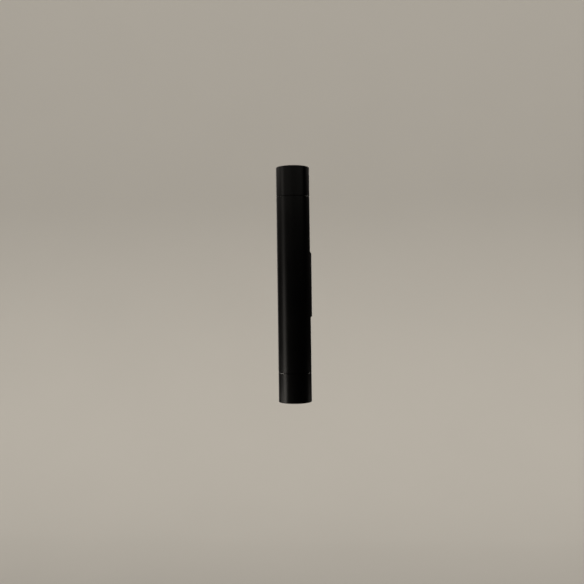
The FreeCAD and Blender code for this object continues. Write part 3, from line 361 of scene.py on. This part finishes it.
looks = {
    # Polyester powder coat, satin black, baked on aluminium. The powder flows out into a fine
    # orange peel, so a highlight is soft and even, and the black stays deep beside it.
    "black_coat": surface(
        "satin_black_powder_coat", ("111111", "161515"), (0.28, 0.32), 0.8 * MM, 0.012 * MM,
        45 * MM, values={"IOR": 1.5})[0],

    # Turned aluminium, left bare: light runs along it in a bright band.
    "bare_aluminium": turned_surface(
        "turned_aluminium", ("b9bbbe", "d3d4d5"), (0.22, 0.36), {"Metallic": 1.0}),

    # Turned aluminium, black anodised. The dyed oxide is thin, so the tool's rings still show,
    # and light runs round the thread in thin dull lines.
    "black_anodised": turned_surface(
        "black_anodised_aluminium", ("131314", "1d1d1f"), (0.30, 0.42), {"IOR": 1.7}),

    "zinc_steel": zinc_plated_sheet(),

    # Machine screws, steel, zinc plated: brighter than the sheet, with marks from tumbling.
    "screw_steel": surface(
        "zinc_plated_screw", ("a0a4a8", "c4c7c9"), (0.20, 0.36), 0.25 * MM, 0.008 * MM,
        1.5 * MM, values={"Metallic": 1.0})[0],

    # Set screws, alloy steel with black oxide and a film of oil: nearly black, dull shine.
    "black_screw": surface(
        "black_oxide_screw", ("17181a", "26272a"), (0.28, 0.42), 0.2 * MM, 0.006 * MM,
        1.5 * MM, values={"Metallic": 1.0})[0],

    # Spring steel wire, hardened and oiled: dark grey, with a straw tint here and there.
    "spring_steel": surface(
        "oiled_spring_steel", ("55565a", "78716a"), (0.24, 0.40), 0.3 * MM, 0.004 * MM,
        5 * MM, values={"Metallic": 1.0})[0],

    # Turned brass, a little tarnished where it was handled.
    "brass": surface(
        "turned_brass", ("a98342", "d8b66c"), (0.20, 0.38), 0.18 * MM, 0.005 * MM,
        2.5 * MM, stretch=(1, 1, 0.2), values={"Metallic": 1.0})[0],

    # Phosphor bronze leaf, rolled: redder and duller than the brass.
    "bronze": surface(
        "rolled_bronze", ("9a6a48", "bd8c62"), (0.26, 0.42), 0.2 * MM, 0.004 * MM,
        3 * MM, stretch=(0.1, 1, 1), values={"Metallic": 1.0})[0],

    # Lamp pins, brass under bright nickel: a warm silver with a clear shine.
    "nickel_pin": surface(
        "nickel_plated_brass", ("bdb6a8", "d6d0c4"), (0.14, 0.26), 0.2 * MM, 0.003 * MM,
        1.5 * MM, values={"Metallic": 1.0})[0],

    # Polyamide, natural, injection moulded. It is milky, and light goes in a little way.
    "natural_nylon": surface(
        "moulded_natural_nylon", ("dcd9cb", "e9e6da"), (0.36, 0.50), 0.35 * MM, 0.010 * MM,
        7 * MM, values={"IOR": 1.53, "Subsurface Weight": 0.15,
                        "Subsurface Scale": 1.5 * MM})[0],

    # Moulded rubber, matt black, with a thin grey bloom in patches.
    "black_rubber": surface(
        "moulded_rubber", ("18181a", "2a2a2b"), (0.60, 0.80), 0.3 * MM, 0.012 * MM,
        4 * MM, values={"IOR": 1.52})[0],

    # Silicone rubber without pigment: a hazy, greyish white.
    "clear_silicone": surface(
        "hazy_silicone", ("c9cac6", "dcdcd8"), (0.40, 0.55), 0.3 * MM, 0.006 * MM,
        5 * MM, values={"IOR": 1.41, "Subsurface Weight": 0.4, "Subsurface Scale": 2 * MM})[0],

    "white_ceramic": fired_steatite(),

    # The lamp's casing, PBT, moulded in white: smooth, with a low sheen.
    "lamp_white": surface(
        "moulded_white_casing", ("e3e3e0", "efefed"), (0.30, 0.40), 0.6 * MM, 0.008 * MM,
        10 * MM, values={"IOR": 1.56})[0],

    "lamp_lens": lit_acrylic_lens(),
    "clear_glass": toughened_glass(),

    # Lead insulation, silicone rubber, extruded: an even colour with a satin skin.
    "brown_silicone": surface(
        "brown_lead", ("55301c", "6d4128"), (0.38, 0.52), 0.3 * MM, 0.006 * MM,
        6 * MM, values={"IOR": 1.41})[0],
    "blue_silicone": surface(
        "blue_lead", ("1f4f9c", "2f66b8"), (0.38, 0.52), 0.3 * MM, 0.006 * MM,
        6 * MM, values={"IOR": 1.41})[0],
    "green_silicone": striped_earth_lead(),
}


# ---- modelling ----

def pick(piece):
    """Selects one piece alone and makes it the active one."""
    bpy.ops.object.select_all(action="DESELECT")
    piece.select_set(True)
    bpy.context.view_layer.objects.active = piece


def settle(piece):
    """Puts the piece's place and turn into its mesh, so that its object sits at the origin."""
    pick(piece)
    bpy.ops.object.transform_apply(location=True, rotation=True, scale=True)


def apply_new(piece, kind, **settings):
    """Adds a modifier with its settings and applies it."""
    pick(piece)
    bpy.ops.object.modifier_add(type=kind)
    modifier = piece.modifiers[-1]
    for name, value in settings.items():
        setattr(modifier, name, value)
    bpy.ops.object.modifier_apply(modifier=modifier.name)


def ease_edges(piece, softness=EDGE_SOFTNESS):
    """Breaks the sharp edges a little and smooths the shading between them."""
    apply_new(piece, "BEVEL", width=softness, segments=2, limit_method="ANGLE",
              angle_limit=SHARP_ANGLE)
    bpy.ops.object.shade_smooth_by_angle(angle=SMOOTH_ANGLE)
    apply_new(piece, "WEIGHTED_NORMAL", weight=100, keep_sharp=True)


def face_outwards(piece):
    """Merges doubled points and turns every face outwards."""
    pick(piece)
    bpy.ops.object.mode_set(mode="EDIT")
    bpy.ops.mesh.select_all(action="SELECT")
    bpy.ops.mesh.remove_doubles(threshold=SAME_PLACE)
    bpy.ops.mesh.normals_make_consistent(inside=False)
    bpy.ops.object.mode_set(mode="OBJECT")


def turn_ring(name, outline, axis=TUBE_AXIS, along="Z", steps=ROUND_STEPS, disc=False):
    """A piece turned on a lathe. The axis runs along Z at (x, y), or along Y at (x, z). A ring
    is extruded and resized from each (radius, distance along the axis) to the next. A closed
    outline makes a hollow piece, and disc makes a solid one with a flat start and end."""
    bpy.ops.object.select_all(action="DESELECT")
    upright = along == "Z"
    radius, height = outline[0]
    centre = (axis[0], axis[1], height) if upright else (axis[0], height, axis[1])
    turn = (0, 0, 0) if upright else (math.pi / 2, 0, 0)
    bpy.ops.mesh.primitive_circle_add(vertices=steps, radius=radius, location=centre,
                                      rotation=turn, fill_type="NGON" if disc else "NOTHING",
                                      enter_editmode=True)
    piece = bpy.context.active_object
    piece.name = name
    route = outline[1:] if disc else outline[1:] + outline[:1]
    for next_radius, next_height in route:
        step = next_height - height
        growth = next_radius / radius
        shift = (0, 0, step) if upright else (0, step, 0)
        scale = (growth, growth, 1) if upright else (growth, 1, growth)
        middle = (axis[0], axis[1], next_height) if upright else (axis[0], next_height, axis[1])
        bpy.ops.mesh.extrude_region_move(TRANSFORM_OT_translate={"value": shift})
        bpy.ops.transform.resize(value=scale, center_override=middle)
        radius, height = next_radius, next_height
    bpy.ops.object.mode_set(mode="OBJECT")
    settle(piece)
    face_outwards(piece)
    return piece


def block(name, low, high):
    """A block between two corners, as a start or a cutter."""
    bpy.ops.object.select_all(action="DESELECT")
    centre = [(a + b) / 2 for a, b in zip(low, high)]
    size = [b - a for a, b in zip(low, high)]
    bpy.ops.mesh.primitive_cube_add(size=1, location=centre)
    piece = bpy.context.active_object
    piece.name = name
    bpy.ops.transform.resize(value=size, center_override=centre)
    settle(piece)
    return piece


def rod(name, radius, low, high, axis, along="Y", steps=SMALL_ROUND_STEPS):
    """A round bar, as a boss or a cutter."""
    return turn_ring(name, [(radius, low), (radius, high)], axis, along, steps, disc=True)


def combine(piece, others, operation="DIFFERENCE"):
    """Takes other pieces away from a piece, or joins them to it, and removes them."""
    for other in others:
        apply_new(piece, "BOOLEAN", operation=operation, object=other, solver="EXACT")
        bpy.data.objects.remove(other, do_unlink=True)


def turned_over(piece, name):
    """The same piece at the lower end: a copy with its own mesh, half a turn about Y."""
    pick(piece)
    bpy.ops.object.duplicate()
    copy = bpy.context.active_object
    copy.name = name
    bpy.ops.transform.rotate(value=math.pi, orient_axis="Y", center_override=(0, 0, 0))
    settle(copy)
    return copy


def dress(piece, slot, body, *nodes):
    """Gives a finished piece its material, the body it rides on and the nodes it stands for."""
    piece.data.materials.clear()
    piece.data.materials.append(looks[slot])
    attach(piece, body)
    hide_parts(*nodes)


def dress_both(upper, slot, body, node):
    """Dresses an upper piece and its turned-over copy at the lower end."""
    lower = turned_over(upper, "lower_" + upper.name)
    upper.name = "upper_" + upper.name
    dress(upper, slot, body if body == "housing" else "upper_" + body, "upper_" + node)
    dress(lower, slot, body if body == "housing" else "lower_" + body, "lower_" + node)


def thread_ridge(name, radius, depth, rise, low_z):
    """A V-shaped thread that winds round the tube's axis, closed at both ends. Its section
    reaches depth in and out of the radius, and rise up and down."""
    bpy.ops.object.select_all(action="DESELECT")
    start = (0, AXIS_Y, low_z)
    bpy.ops.mesh.primitive_circle_add(vertices=4, radius=depth, location=start,
                                      rotation=(math.pi / 2, 0, 0))
    ridge = bpy.context.active_object
    ridge.name = name
    bpy.ops.object.transform_apply(location=False, rotation=True, scale=True)
    bpy.ops.object.mode_set(mode="EDIT")
    bpy.ops.mesh.select_all(action="SELECT")
    bpy.ops.transform.resize(value=(1, 1, rise / depth), center_override=start)
    bpy.ops.transform.translate(value=(radius, 0, 0))
    bpy.ops.object.mode_set(mode="OBJECT")
    apply_new(ridge, "SCREW", axis="Z", angle=math.tau, screw_offset=PITCH,
              iterations=THREAD_TURNS, steps=ROUND_STEPS, render_steps=ROUND_STEPS,
              use_merge_vertices=False)
    pick(ridge)
    bpy.ops.object.mode_set(mode="EDIT")
    bpy.ops.mesh.select_all(action="SELECT")
    bpy.ops.mesh.fill_holes(sides=0)
    bpy.ops.object.mode_set(mode="OBJECT")
    settle(ridge)
    face_outwards(ridge)
    return ridge


# ---- the tube and its two ends ----

def make_tube():
    """The long middle tube, with the holes at its back for two screws and the leads."""
    tube = turn_ring("middle_tube", [
        (TUBE_BORE_R, -SEAM_Z),
        (TUBE_R - SEAM_CHAMFER, -SEAM_Z),
        (TUBE_R, -SEAM_Z + SEAM_CHAMFER),
        (TUBE_R, SEAM_Z - SEAM_CHAMFER),
        (TUBE_R - SEAM_CHAMFER, SEAM_Z),
        (TUBE_BORE_R, SEAM_Z),
    ])
    back_y = AXIS_Y + TUBE_R + OVERCUT
    combine(tube, [
        rod("cutter", SCREW_HOLE_R, AXIS_Y, back_y, (0, SADDLE_SCREW_Z)),
        rod("cutter", SCREW_HOLE_R, AXIS_Y, back_y, (0, -SADDLE_SCREW_Z)),
        rod("cutter", GROMMET_HOLE_R, AXIS_Y, back_y, (0, GROMMET_Z)),
    ])
    ease_edges(tube)
    dress(tube, "black_coat", "housing", "body_tube")


def make_sleeves():
    """The screw-on ends: a threaded skirt, a plain bore, a ring groove and a lip."""
    skirt_top = collar_high.z + THREAD_RUNOUT
    lip_z = RIM_Z - LIP_THICKNESS
    sleeve = turn_ring("end_sleeve", [
        (SLEEVE_THREAD_R, SLEEVE_FOOT_Z),
        (TUBE_R - SEAM_CHAMFER, SLEEVE_FOOT_Z),
        (TUBE_R, SLEEVE_FOOT_Z + SEAM_CHAMFER),
        (TUBE_R, RIM_Z - RIM_CHAMFER),
        (TUBE_R - RIM_CHAMFER, RIM_Z),
        (LIP_R + RIM_CHAMFER, RIM_Z),
        (LIP_R, RIM_Z - RIM_CHAMFER),
        (LIP_R, lip_z),
        (TUBE_BORE_R, lip_z),
        (TUBE_BORE_R, ring_high.z + RING_GAP),
        (GROOVE_R, ring_high.z + RING_GAP),
        (GROOVE_R, ring_low.z - RING_GAP),
        (TUBE_BORE_R, ring_low.z - RING_GAP),
        (TUBE_BORE_R, skirt_top),
        (SLEEVE_THREAD_R, skirt_top),
    ])
    combine(sleeve, [thread_ridge("cutter", SLEEVE_THREAD_R, SLEEVE_THREAD_DEPTH,
                                  SLEEVE_THREAD_RISE, SLEEVE_FOOT_Z + THREAD_START)])
    ease_edges(sleeve)
    dress_both(sleeve, "black_coat", "screw_sleeve", "sleeve")


def make_collars():
    """The collars pressed into the tube, each with a flange and a threaded nose."""
    flange_top = collar_low.z + COLLAR_FLANGE
    collar = turn_ring("threaded_collar", [
        (COLLAR_FLANGE_R, collar_low.z),
        (TUBE_BORE_R, collar_low.z),
        (TUBE_BORE_R, SEAM_Z),
        (NOSE_ROOT_R, SEAM_Z),
        (NOSE_ROOT_R, collar_high.z - NOSE_CHAMFER),
        (NOSE_ROOT_R - NOSE_CHAMFER, collar_high.z),
        (NOSE_BORE_R, collar_high.z),
        (NOSE_BORE_R, flange_top),
        (COLLAR_FLANGE_R, flange_top),
    ])
    combine(collar, [thread_ridge("thread", NOSE_ROOT_R, NOSE_THREAD_DEPTH, NOSE_THREAD_RISE,
                                  SEAM_Z + THREAD_START)], "UNION")
    combine(collar, [
        rod("cutter", COLLAR_SCREW_HOLE_R, collar_low.z - OVERCUT, flange_top + OVERCUT,
            (side * COLLAR_SCREW_X, AXIS_Y), "Z", SMALL_ROUND_STEPS)
        for side in (-1, 1)
    ])
    ease_edges(collar, EDGE_SOFTNESS / 2)
    dress_both(collar, "black_anodised", "housing", "thread_collar")


def make_glasses():
    """The cover glasses, with ground edges."""
    radius = glass_high.x
    glass = turn_ring("cover_glass", [
        (radius - GROUND_EDGE, glass_low.z),
        (radius, glass_low.z + GROUND_EDGE),
        (radius, glass_high.z - GROUND_EDGE),
        (radius - GROUND_EDGE, glass_high.z),
    ], disc=True)
    bpy.ops.object.shade_smooth_by_angle(angle=SHARP_ANGLE)
    dress_both(glass, "clear_glass", "cover_glass", "glass")


def lamp_flare():
    """Points of the lamp's flared side, on the arc through its neck, waist and shoulder."""
    neck = Vector((LAMP_NECK_R, lamp_low.z + LAMP_NECK_UP))
    waist = Vector((LAMP_WAIST_R, lamp_low.z + LAMP_WAIST_UP))
    shoulder = Vector((lamp_high.x - LAMP_SHOULDER_IN, lamp_high.z - LAMP_SHOULDER_DOWN))
    chord_a, chord_b = waist - neck, shoulder - neck
    twice_cross = 2 * (chord_a.x * chord_b.y - chord_a.y * chord_b.x)
    centre = neck + Vector((
        (chord_b.y * chord_a.length_squared - chord_a.y * chord_b.length_squared) / twice_cross,
        (chord_a.x * chord_b.length_squared - chord_b.x * chord_a.length_squared) / twice_cross))
    radius = (neck - centre).length
    first = math.atan2(neck.y - centre.y, neck.x - centre.x)
    last = math.atan2(shoulder.y - centre.y, shoulder.x - centre.x)
    sweep = (last - first + math.pi) % math.tau - math.pi
    points = []
    for step in range(CURVE_STEPS + 1):
        angle = first + sweep * step / CURVE_STEPS
        points.append((centre.x + radius * math.cos(angle), centre.y + radius * math.sin(angle)))
    return points


def make_lamps():
    """The lamps' casings and their lenses, which are moulded in rings."""
    face = lamp_high.z
    seat = lens_low.z
    lens_r = lens_high.x
    casing = turn_ring("lamp_casing", [
        (LAMP_BASE_R - EDGE_SOFTNESS, lamp_low.z),
        (LAMP_BASE_R, lamp_low.z + EDGE_SOFTNESS),
        (LAMP_BASE_R, lamp_low.z + LAMP_BASE_LENGTH),
        *lamp_flare(),
        (lamp_high.x, face - LAMP_RIM_HEIGHT),
        (lamp_high.x, face - LAMP_RIM_CHAMFER),
        (lamp_high.x - LAMP_RIM_CHAMFER, face),
        (lamp_high.x - LAMP_RIM_FLAT, face),
        (lens_r, face - LAMP_RIM_DROP),
        (lens_r, seat),
        (lens_r - LENS_SEAT_WIDTH, seat),
        (lens_r - LENS_SEAT_WIDTH, seat - LENS_SEAT_DEPTH),
        (LAMP_BASE_R, seat - LENS_SEAT_DEPTH),
    ], disc=True)
    ease_edges(casing)
    dress_both(casing, "lamp_white", "lamp", "lamp_body")

    outline = [(lens_r, lens_low.z), (lens_r, lens_high.z - LENS_RING_DROP),
               (lens_r - LENS_RIM, lens_high.z - LENS_RING_DROP)]
    ring_width = (lens_r - LENS_RIM - LENS_CENTRE_R) / LENS_RINGS
    for ring in range(LENS_RINGS):
        radius = lens_r - LENS_RIM - ring * ring_width
        outline.append((radius, lens_high.z))
        outline.append((radius - ring_width, lens_high.z - LENS_RING_DROP))
    outline.append((LENS_CENTRE_R / 2, lens_high.z - LENS_RING_DROP / 4))
    lens = turn_ring("lamp_front", outline, steps=LENS_FINENESS, disc=True)
    bpy.ops.object.shade_smooth_by_angle(angle=LENS_SMOOTH_ANGLE)
    dress_both(lens, "lamp_lens", "lamp", "lamp_lens")


# ---- the wall box and what lines its holes ----

def make_wall_box():
    """The open-backed box, hollowed in front to fit round the tube, with its pads and holes."""
    shell = block("wall_box", box_low, box_high)
    pick(shell)
    bpy.ops.object.mode_set(mode="EDIT")
    bpy.ops.mesh.select_mode(type="EDGE")
    bpy.ops.mesh.select_all(action="DESELECT")
    bpy.ops.object.mode_set(mode="OBJECT")
    for edge in shell.data.edges:
        ends = [shell.data.vertices[index].co for index in edge.vertices]
        edge.select = abs(ends[0].y - ends[1].y) > BOX_WALL
    bpy.ops.object.mode_set(mode="EDIT")
    bpy.ops.mesh.bevel(offset=BOX_CORNER_R, segments=5)
    bpy.ops.object.mode_set(mode="OBJECT")

    cavity = block("cavity", (box_low.x + BOX_WALL, box_low.y, box_low.z + BOX_WALL),
                   (box_high.x - BOX_WALL, box_high.y + OVERCUT, box_high.z - BOX_WALL))
    saddle = rod("saddle", TUBE_R + BOX_WALL, 2 * box_low.z, 2 * box_high.z, TUBE_AXIS, "Z",
                 ROUND_STEPS)
    combine(cavity, [saddle])
    combine(shell, [cavity])

    root_y = AXIS_Y + TUBE_R - OVERCUT
    combine(shell, [
        rod("pad", PAD_R, root_y, PAD_FACE_Y, (0, SADDLE_SCREW_Z)),
        rod("pad", PAD_R, root_y, PAD_FACE_Y, (0, -SADDLE_SCREW_Z)),
        rod("pad", GROMMET_PAD_R, root_y, PAD_FACE_Y, (0, GROMMET_Z)),
        block("pad", (-BLOCK_PAD_HALF_X, AXIS_Y + TUBE_R - BOX_WALL, BLOCK_Z - BLOCK_PAD_HALF_Z),
              (BLOCK_PAD_HALF_X, BLOCK_PAD_FACE_Y, BLOCK_Z + BLOCK_PAD_HALF_Z)),
    ], "UNION")
    wall_z = box_high.z - BOX_WALL - OVERCUT
    combine(shell, [
        rod("cutter", TUBE_R, 2 * box_low.z, 2 * box_high.z, TUBE_AXIS, "Z", ROUND_STEPS),
        rod("cutter", SCREW_HOLE_R, AXIS_Y, 0, (0, SADDLE_SCREW_Z)),
        rod("cutter", SCREW_HOLE_R, AXIS_Y, 0, (0, -SADDLE_SCREW_Z)),
        rod("cutter", GROMMET_HOLE_R, AXIS_Y, 0, (0, GROMMET_Z)),
        rod("cutter", BLOCK_SCREW_R, BLOCK_SCREW_END_Y, 0, (BLOCK_SCREW_X, BLOCK_Z)),
        rod("cutter", BLOCK_SCREW_R, BLOCK_SCREW_END_Y, 0, (-BLOCK_SCREW_X, BLOCK_Z)),
        rod("cutter", GRUB_R, wall_z, box_high.z + OVERCUT, (0, GRUB_Y), "Z"),
        rod("cutter", GRUB_R, box_low.z - OVERCUT, -wall_z, (0, GRUB_Y), "Z"),
    ])
    face_outwards(shell)
    ease_edges(shell, PRESSED_EDGE)
    dress(shell, "black_coat", "housing", "mount_box")


def make_bush_and_grommet():
    """The nylon bush in the bracket and the rubber grommet between box and tube."""
    seat_y = bush_low.y + FLANGE
    bush = turn_ring("cable_bush_moulded", [
        (BUSH_BORE_R + ROLLED_EDGE, bush_low.y),
        (bush_high.x - ROLLED_EDGE, bush_low.y),
        (bush_high.x, bush_low.y + ROLLED_EDGE),
        (bush_high.x, seat_y),
        (BUSH_BODY_R, seat_y),
        (BUSH_BODY_R, bush_high.y),
        (BUSH_BORE_R, bush_high.y),
        (BUSH_BORE_R, bush_low.y + ROLLED_EDGE),
    ], (0, 0), "Y", SMALL_ROUND_STEPS)
    ease_edges(bush)
    dress(bush, "natural_nylon", "wall_side", "cable_bush")

    flange_r = grommet_high.x
    grommet = turn_ring("grommet_moulded", [
        (GROMMET_BORE_R + ROLLED_EDGE, grommet_high.y),
        (flange_r - ROLLED_EDGE, grommet_high.y),
        (flange_r, grommet_high.y - ROLLED_EDGE),
        (flange_r, grommet_high.y - FLANGE),
        (GROMMET_HOLE_R, grommet_high.y - FLANGE),
        (GROMMET_HOLE_R, grommet_low.y + FLANGE),
        (GROMMET_LIP_R, grommet_low.y + FLANGE),
        (GROMMET_LIP_R, grommet_low.y + ROLLED_EDGE),
        (GROMMET_LIP_R - ROLLED_EDGE, grommet_low.y),
        (GROMMET_BORE_R, grommet_low.y),
        (GROMMET_BORE_R, grommet_high.y - ROLLED_EDGE),
    ], (0, GROMMET_Z), "Y", SMALL_ROUND_STEPS)
    ease_edges(grommet)
    dress(grommet, "black_rubber", "housing", "lead_grommet")


def make_eased(node, softness):
    """A copy of a node with its points merged, its flat faces whole and its edges eased."""
    pick(frame["nodes"][node])
    bpy.ops.object.duplicate()
    copy = bpy.context.active_object
    copy.name = node + "_finished"
    copy.data = copy.data.copy()
    settle(copy)
    bpy.ops.object.mode_set(mode="EDIT")
    bpy.ops.mesh.select_all(action="SELECT")
    bpy.ops.mesh.remove_doubles(threshold=SAME_PLACE)
    bpy.ops.mesh.dissolve_limited(angle_limit=FLAT_ANGLE)
    bpy.ops.object.mode_set(mode="OBJECT")
    ease_edges(copy, softness)
    return copy


def make_earth_lead():
    """The earth lead, with the attribute that its stripes follow: how squarely each point of
    the skin faces one fixed way or its opposite."""
    lead = make_eased("earth_lead", LEAD_EDGE)
    towards = STRIPE_TOWARDS.normalized()
    side = lead.data.attributes.new(STRIPE, "FLOAT", "POINT")
    for vertex in lead.data.vertices:
        side.data[vertex.index].value = abs(vertex.normal.dot(towards))
    dress(lead, "green_silicone", "housing", "earth_lead")


node_slots = {entry["node"]: entry["material_slot"] for entry in frame["record"]["subparts"]}
node_bodies = {node: body for body, nodes in frame["record"]["behaviour"]["bodies"].items()
               for node in nodes}
edge_softness = {
    "wall_bracket": THICK_EDGE,
    "terminal_block": THICK_EDGE,
    "clamp_plate": PRESSED_EDGE,
}
for node in ("earth_tag", "earth_washer", "earth_screw", "grub_screws", "saddle_screws",
             "block_screws", "terminal_screws", "terminal_barrels"):
    edge_softness[node] = FASTENER_EDGE
for end in ("upper_", "lower_"):
    edge_softness[end + "lamp_bracket"] = PRESSED_EDGE
    edge_softness[end + "lampholder"] = THICK_EDGE
    edge_softness[end + "retaining_ring"] = PRESSED_EDGE
    edge_softness[end + "bracket_screws"] = FASTENER_EDGE
    edge_softness[end + "holder_screws"] = FASTENER_EDGE
    edge_softness[end + "lamp_pins"] = PRESSED_EDGE

make_tube()
make_sleeves()
make_collars()
make_glasses()
make_lamps()
make_wall_box()
make_bush_and_grommet()
make_earth_lead()
for node, softness in edge_softness.items():
    dress(make_eased(node, softness), node_slots[node], node_bodies[node], node)
for node, slot in node_slots.items():
    shown = frame["nodes"][node]
    shown.data.materials.clear()
    shown.data.materials.append(looks[slot])


# ---- camera, floor and light ----

def make_camera():
    """The camera at the photograph's own place, turn and angle of view."""
    data = bpy.data.cameras.new("photo_camera")
    data.sensor_width = SENSOR_WIDTH
    data.lens = FOCAL_PIXELS / PHOTO_WIDTH * SENSOR_WIDTH
    data.clip_start = 0.01
    data.clip_end = 50.0
    camera = bpy.data.objects.new("photo_camera", data)
    bpy.context.scene.collection.objects.link(camera)
    forward = Vector((math.sin(CAMERA_YAW) * math.cos(CAMERA_PITCH),
                      math.cos(CAMERA_YAW) * math.cos(CAMERA_PITCH),
                      math.sin(CAMERA_PITCH)))
    right = Vector((math.cos(CAMERA_YAW), -math.sin(CAMERA_YAW), 0))
    up = right.cross(forward)
    tilted_right = right * math.cos(CAMERA_ROLL) + up * math.sin(CAMERA_ROLL)
    tilted_up = up * math.cos(CAMERA_ROLL) - right * math.sin(CAMERA_ROLL)
    turn = Matrix((tilted_right, tilted_up, -forward)).transposed()
    camera.matrix_world = Matrix.Translation(CAMERA_PLACE) @ turn.to_4x4()
    bpy.context.scene.camera = camera


def make_floor():
    """A pale floor well below the light, swept up into a backdrop far behind it. The tube's
    black coat neither mirrors it nor is lit by it, so its edges stay dark."""
    centre_y, floor_z, size, rise, sweep = -5.2, -1.1, 16.0, 4.5, 1.6
    back_y = centre_y + size / 2
    bpy.ops.object.select_all(action="DESELECT")
    bpy.ops.mesh.primitive_plane_add(size=size, location=(0, centre_y, floor_z))
    floor = bpy.context.active_object
    floor.name = "floor"
    settle(floor)
    bpy.ops.object.mode_set(mode="EDIT")
    bpy.ops.mesh.select_mode(type="EDGE")
    bpy.ops.mesh.select_all(action="DESELECT")
    bpy.ops.object.mode_set(mode="OBJECT")
    for edge in floor.data.edges:
        edge.select = all(floor.data.vertices[i].co.y > back_y - OVERCUT for i in edge.vertices)
    bpy.ops.object.mode_set(mode="EDIT")
    bpy.ops.mesh.extrude_region_move(TRANSFORM_OT_translate={"value": (0, 0, rise)})
    bpy.ops.mesh.select_all(action="DESELECT")
    bpy.ops.object.mode_set(mode="OBJECT")
    for edge in floor.data.edges:
        ends = [floor.data.vertices[i].co for i in edge.vertices]
        edge.select = all(end.y > back_y - OVERCUT and end.z < 0 for end in ends)
    bpy.ops.object.mode_set(mode="EDIT")
    bpy.ops.mesh.bevel(offset=sweep, segments=24)
    bpy.ops.object.mode_set(mode="OBJECT")
    bpy.ops.object.shade_smooth_by_angle(angle=SMOOTH_ANGLE)
    # Matt painted board, one pale grey all over.
    floor.data.materials.append(surface(
        "matt_pale_board", ("cbc9c4", "cdcbc6"), (0.85, 0.95), 2 * MM, 0.02 * MM, 400 * MM)[0])
    floor.visible_glossy = False
    floor.visible_diffuse = False
    return floor


def area_light(name, place, target, width, tall, watts):
    """A soft rectangular light that isn't seen itself."""
    data = bpy.data.lights.new(name, "AREA")
    data.shape = "RECTANGLE"
    data.size = width
    data.size_y = tall
    data.energy = watts
    data.color = linear(LIGHT_COLOUR)[:3]
    light = bpy.data.objects.new(name, data)
    bpy.context.scene.collection.objects.link(light)
    light.location = place
    light.rotation_euler = (Vector(target) - Vector(place)).to_track_quat("-Z", "Y").to_euler()
    light.visible_camera = False
    return light


def make_softbox(name, bearing, height, width, tall, watts):
    """A softbox beside the tube that faces its axis. Its bearing is in degrees, to the right
    of the way to the camera."""
    to_camera = math.atan2(CAMERA_PLACE.x, AXIS_Y - CAMERA_PLACE.y)
    angle = to_camera + math.radians(bearing)
    place = (SOFTBOX_AWAY * math.sin(angle), AXIS_Y - SOFTBOX_AWAY * math.cos(angle), height)
    return area_light(name, place, (0, AXIS_Y, height), width, tall, watts)


def make_studio(floor):
    """The lights: a stack of softboxes at the left makes the long highlight, brightest low
    down, a weak band high in front lifts the upper end, and softboxes behind light the sides
    and the back. These leave the floor to two wide lights, which light nothing else."""
    unlit = bpy.data.collections.new("left_out_by_softboxes")
    unlit.objects.link(floor)
    unlit.collection_objects[0].light_linking.link_state = "EXCLUDE"
    floor_only = bpy.data.collections.new("lit_by_wide_lights")
    floor_only.objects.link(floor)
    for name, bearing, height, width, tall, watts in (
            ("left_low", -73, -0.45, 0.40, 0.30, 0.78),
            ("left_middle", -73, -0.15, 0.40, 0.30, 0.27),
            ("left_upper", -73, 0.15, 0.40, 0.30, 0.09),
            ("left_top", -76, 0.45, 0.40, 0.30, 0.20),
            ("front_left", -37.5, 0.45, 0.91, 0.30, 0.20),
            ("front_middle", 7.5, 0.45, 0.91, 0.30, 0.14),
            ("front_right", 52.5, 0.45, 0.91, 0.30, 0.16),
            ("rear_left_high", -125, 0.75, 0.60, 0.30, 8.5),
            ("rear_left_low", -101, -0.60, 0.60, 0.30, 2.0),
            ("rear_right_high", 145, 0.75, 0.50, 0.30, 8.5),
            ("rear_right_low", 122, -0.60, 0.50, 0.30, 0.6),
            ("rear_left_wide", -158, 0.10, 0.50, 1.00, 0.5)):
        softbox = make_softbox(name, bearing, height, width, tall, watts)
        softbox.light_linking.receiver_collection = unlit
    low_front = area_light("low_front", (-0.45, -0.85, -0.90), (0, AXIS_Y, 0), 0.5, 0.5, 0.8)
    low_front.light_linking.receiver_collection = unlit
    wide_lights = (
        area_light("backdrop_light", (0, -14.5, 1.5), (0, 2.8, 1.5), 14.0, 5.0, 980.0),
        area_light("ceiling", (0, -5.2, 4.0), (0, -5.2, 0), 18.0, 18.0, 900.0))
    for light in wide_lights:
        light.light_linking.receiver_collection = floor_only


def make_surround():
    """Pale to the camera beyond the floor, and nearly dark as a light."""
    world = bpy.data.worlds.new("studio")
    world.use_nodes = True
    tree = world.node_tree
    tree.nodes.clear()
    seen = add(tree, "ShaderNodeLightPath").outputs["Is Camera Ray"]
    strength = add(tree, "ShaderNodeMapRange", {},
                   {"To Min": SURROUND_AS_LIGHT, "To Max": SURROUND_SEEN}, {"Value": seen})
    background = add(tree, "ShaderNodeBackground", {}, {"Color": linear("f3efe9")},
                     {"Strength": strength.outputs["Result"]})
    add(tree, "ShaderNodeOutputWorld", links={"Surface": background.outputs["Background"]})
    bpy.context.scene.world = world


make_camera()
make_studio(make_floor())
make_surround()
bpy.context.scene.view_settings.view_transform = "Standard"
